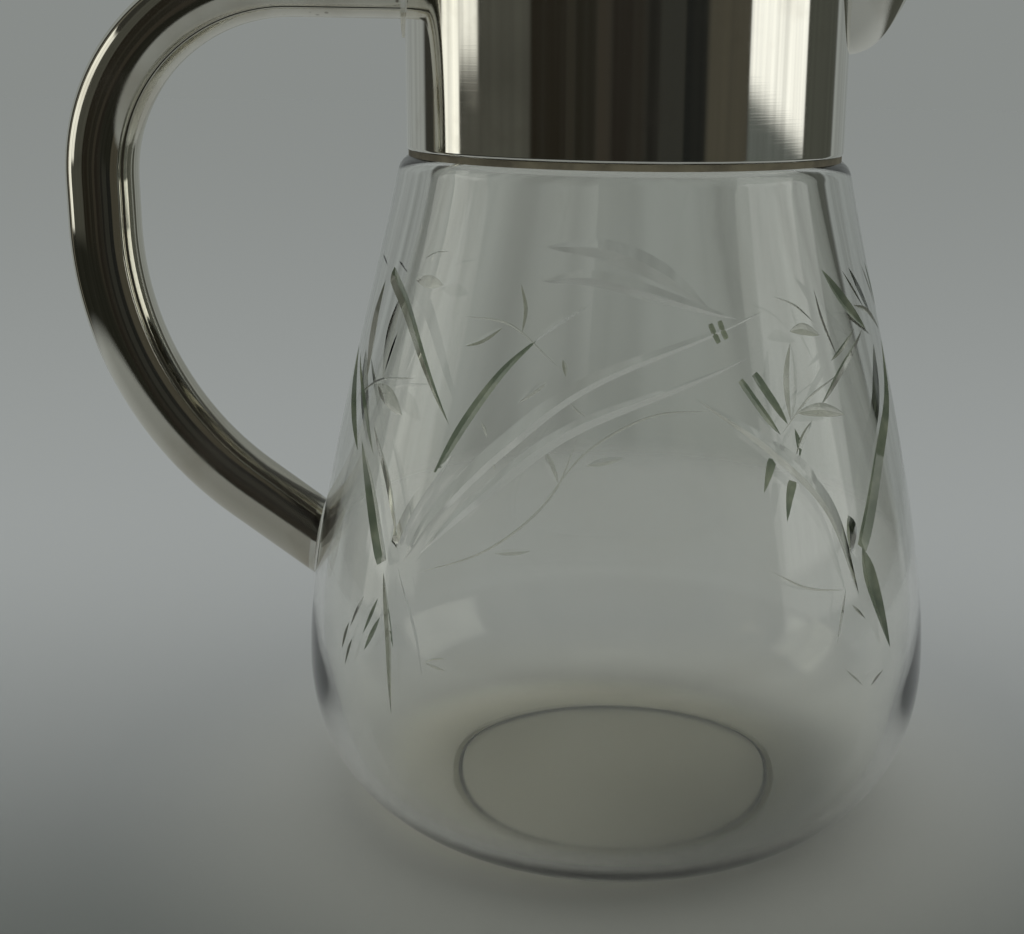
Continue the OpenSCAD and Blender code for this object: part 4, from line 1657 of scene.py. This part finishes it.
@dataclass
class Studio:
    """Floor with painted light and shade, even soft light, and a plain room of panels for the polished metal
    to mirror.

    Places and distances on the floor are in metres. The floor is painted palest just behind the jug, dimmer
    far off and darker in front as painted shade; near_from and far_from count in one over the distance from
    the eye, so that this painted shade runs evenly down the picture. A painted patch of light lies under the
    base with fainter painted light round it, and a painted shadow in front of the base shows only through
    the glass.
    """

    floor_reach: float = 6.0
    floor_z: float = -0.05
    floor_rings: int = 12
    floor_columns: int = 96
    table: Point = (0.36, 0.49)
    mirrored_front: float = 0.45
    eye: float = 0.342
    nearest: float = 0.05
    # painted shade in front over near_from, painted light in the band behind the jug over far_from
    near_from: Point = (1.7, 4.0)
    far_from: Point = (0.0, 2.2)
    # painted light: a paler patch on the floor under the base
    painted_light_patch_from: Point = (0.036, 0.062)
    painted_light_patch_at: Point = (-0.006, 0.006)
    # painted shadow on the floor in front of the base, seen only through the glass
    shadow_from: Point = (0.0, 0.085)
    shadow_at: Point = (0.040, -0.046)
    shadow_share: float = 0.65
    # painted light: a faint wider spread round the jug
    painted_soft_light_from: Point = (0.05, 0.13)
    painted_soft_light_share: float = 0.2
    # far is the backdrop and the far floor; then painted light behind the jug and painted shade in front
    far: Colour = (0.247, 0.262, 0.252)
    painted_light_band: Colour = (0.332, 0.350, 0.345)
    near: Colour = (0.115, 0.125, 0.115)
    # colour of the painted shadow
    shadow: Colour = (0.062, 0.066, 0.048)
    # colour of the painted light under the base
    painted_light_patch: Colour = (0.68, 0.68, 0.58)
    room: Colour = (0.03, 0.03, 0.025)
    streaks: float = 0.35
    streak_scale: Point = (0.22, 0.03)
    streak_from: Point = (0.3, 0.75)
    even: Colour = (1.0, 1.0, 1.0)
    panels: tuple[Panel, ...] = (
        Panel((-200.0, -127.0), (-90.0, 90.0), (0.30, 0.32, 0.31), 2.0),
        Panel((-117.0, -109.0), (-90.0, 90.0), (0.13, 0.125, 0.10), 1.0),
        Panel((-108.5, -94.5), (-6.5, 30.0), (1.15, 1.15, 1.05), 0.8),
        Panel((-94.5, -81.0), (-0.5, 30.0), (1.0, 1.0, 0.92), 1.2),
        Panel((-94.0, -50.0), (-90.0, -0.5), (0.065, 0.066, 0.055), 2.0),
        Panel((-81.0, -50.0), (-0.5, 60.0), (0.065, 0.066, 0.055), 2.0),
        Panel((-50.0, -31.0), (-90.0, 60.0), (0.014, 0.012, 0.008), 1.5),
        Panel((-31.0, -27.0), (-90.0, 60.0), (0.024, 0.022, 0.016), 1.0),
        Panel((-27.0, -16.0), (-90.0, 60.0), (0.015, 0.014, 0.010), 1.0),
        Panel((-16.0, -9.0), (-90.0, 60.0), (0.032, 0.028, 0.021), 2.0),
        Panel((-9.0, 2.0), (-90.0, 60.0), (0.015, 0.013, 0.010), 2.0),
        Panel((2.0, 8.0), (-90.0, 60.0), (0.019, 0.017, 0.013), 2.0),
        Panel((8.0, 15.0), (-90.0, 60.0), (0.012, 0.012, 0.010), 2.0),
        Panel((15.0, 27.0), (-90.0, 60.0), (0.026, 0.027, 0.023), 1.5),
        Panel((27.0, 39.0), (-90.0, 60.0), (0.010, 0.011, 0.010), 1.0),
        Panel((39.0, 62.0), (-90.0, 60.0), (0.060, 0.056, 0.042), 2.0),
        Panel((62.0, 101.0), (-90.0, 30.0), (0.10, 0.112, 0.105), 1.0),
        Panel((62.0, 101.0), (-1.0, 30.0), (1.15, 1.16, 1.10), 0.8, 0.055),
        Panel((101.0, 130.0), (-90.0, 90.0), (0.062, 0.066, 0.055), 1.5),
        Panel((131.0, 200.0), (-90.0, 90.0), (0.27, 0.29, 0.28), 2.0),
        Panel((-112.0, 39.0), (-90.0, -7.5), (0.013, 0.0135, 0.010), 2.0),
    )

    def build(self) -> bpy.types.Object:
        """Build the floor and the world.

        Returns:
            The floor.
        """
        self._world()
        return self._floor()

    def _floor(self) -> bpy.types.Object:
        """A wide disc under the jug with painted light and shade, palest behind it, that mirrored rays see
        only near the jug.
        """
        mesher = Mesher()
        disc = line((self.floor_reach / MM, self.floor_z), (0.0, self.floor_z), self.floor_rings)
        revolve(mesher, disc, self.floor_columns)
        material, nodes = new_material("studio_floor")
        place = nodes.place()
        x, y, _ = nodes.split(place)
        glossy, clear, after = nodes.paths("Is Glossy Ray", "Is Transmission Ray", "Diffuse Depth")
        # painted shade: palest just behind the jug, dimmer far off, darkest in front, less dark in mirrors
        nearness = 1 / (y + self.eye).at_least(self.nearest)
        behind = nodes.mix(nearness.step(*self.far_from), self.far, self.painted_light_band)
        shade = nearness.step(*self.near_from) * (1 - glossy * (1 - self.mirrored_front))
        front = nodes.mix(shade, behind, self.near)
        # painted light: a faint wide spread round the jug and a paler patch under the base
        away = self._away(x, y, (0.0, 0.0))
        painted_soft_light = (1 - away.step(*self.painted_soft_light_from)) * self.painted_soft_light_share
        inner = 1 - self._away(x, y, self.painted_light_patch_at).step(*self.painted_light_patch_from)
        lit = painted_soft_light + inner * (1 - self.painted_soft_light_share)
        # painted shadow in front of the base, only for rays that come through the glass
        dim = 1 - self._away(x, y, self.shadow_at).step(*self.shadow_from)
        shaded = dim * clear * self.shadow_share
        colour = nodes.mix(shaded, nodes.mix(lit, front, self.painted_light_patch), self.shadow)
        off_table = glossy * away.step(*self.table) * (1 - after.flag())
        cloth = nodes.add("ShaderNodeBsdfDiffuse", None, {"Color": colour})
        gone = nodes.add("ShaderNodeBsdfTransparent")
        surface = nodes.add("ShaderNodeMixShader", None, {0: off_table, 1: cloth, 2: gone})
        nodes.add("ShaderNodeOutputMaterial", None, {"Surface": surface})
        floor = new_piece(mesher.mesh("floor"), material)
        return floor

    @staticmethod
    def _away(x: Socket, y: Socket, place: Point) -> Socket:
        """Distance on the floor from a place, in metres."""
        across, along = x - place[0], y - place[1]
        return (across * across + along * along).root()

    def _world(self) -> None:
        """Backdrop for camera and transmitted rays, the room for mirrored rays, even light for the rest."""
        world = bpy.data.worlds.new("studio")
        bpy.context.scene.world = world
        world.use_nodes = True
        nodes = Nodes(world.node_tree)
        x, y, z = nodes.split(nodes.add("ShaderNodeTexCoord", None, None, "Generated"))
        azimuth = x.angle_to(0 - y)
        elevation = z.angle_to((x * x + y * y).root())
        room: Any = self.room
        for panel in self.panels:
            level = elevation + (azimuth - panel.azimuth[0]) * panel.slant
            mask = azimuth.between(*panel.azimuth, panel.soft) * level.between(*panel.elevation, panel.soft)
            room = nodes.mix(mask, room, panel.colour)
        drawn = nodes.vector(azimuth * self.streak_scale[0], elevation * self.streak_scale[1], 0.0)
        streak = nodes.noise(drawn, 1.0).step(*self.streak_from)
        room = nodes.mix(streak * self.streaks, room, self.room)
        camera, glossy, clear, after = nodes.paths(
            "Is Camera Ray", "Is Glossy Ray", "Is Transmission Ray", "Diffuse Depth")
        direct = (camera + glossy + clear).flag() * (1 - after.flag())
        lit = nodes.mix(direct, self.even, nodes.mix(glossy, self.far, room))
        light = nodes.add("ShaderNodeBackground", None, {"Color": lit, "Strength": 1.0})
        nodes.add("ShaderNodeOutputWorld", None, {"Surface": light})


@dataclass
class PhotoCamera:
    """The camera at the photograph's angle, for a frame of 1024 by 934."""

    place: tuple[float, float, float] = (-10.447, -342.529, 175.464)
    forward: tuple[float, float, float] = (0.0134, 0.9693, -0.2454)
    up: tuple[float, float, float] = (-0.012, 0.2455, 0.9693)
    lens: float = 52.65
    shift: Point = (-0.081, -0.0276)

    def build(self) -> bpy.types.Object:
        """Put the camera in the scene.

        Returns:
            The camera object.
        """
        data = bpy.data.cameras.new("photo_camera")
        data.sensor_fit = "HORIZONTAL"
        data.sensor_width = 36.0
        data.lens = self.lens
        data.shift_x, data.shift_y = self.shift
        data.clip_start = 0.01
        camera = bpy.data.objects.new("photo_camera", data)
        bpy.context.scene.collection.objects.link(camera)
        back = -Vector(self.forward).normalized()
        right = Vector(self.up).cross(back).normalized()
        up = back.cross(right)
        basis = Matrix((right, up, back)).transposed().to_4x4()
        camera.matrix_world = Matrix.Translation(Vector(self.place) * MM) @ basis
        bpy.context.scene.camera = camera
        return camera


def main() -> None:
    """Build the pieces in order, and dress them."""
    logging.basicConfig(level=logging.INFO, format="%(name)s: %(message)s")
    bpy.context.scene.view_settings.view_transform = "Standard"
    PhotoCamera().build()
    Studio().build()
    for piece in (GlassBody(), Collar(), Spout(), RimWire(), Handle(), Lid()):
        piece.build()
    Fittings().dress(frame["nodes"])


if __name__ == "__main__":
    main()
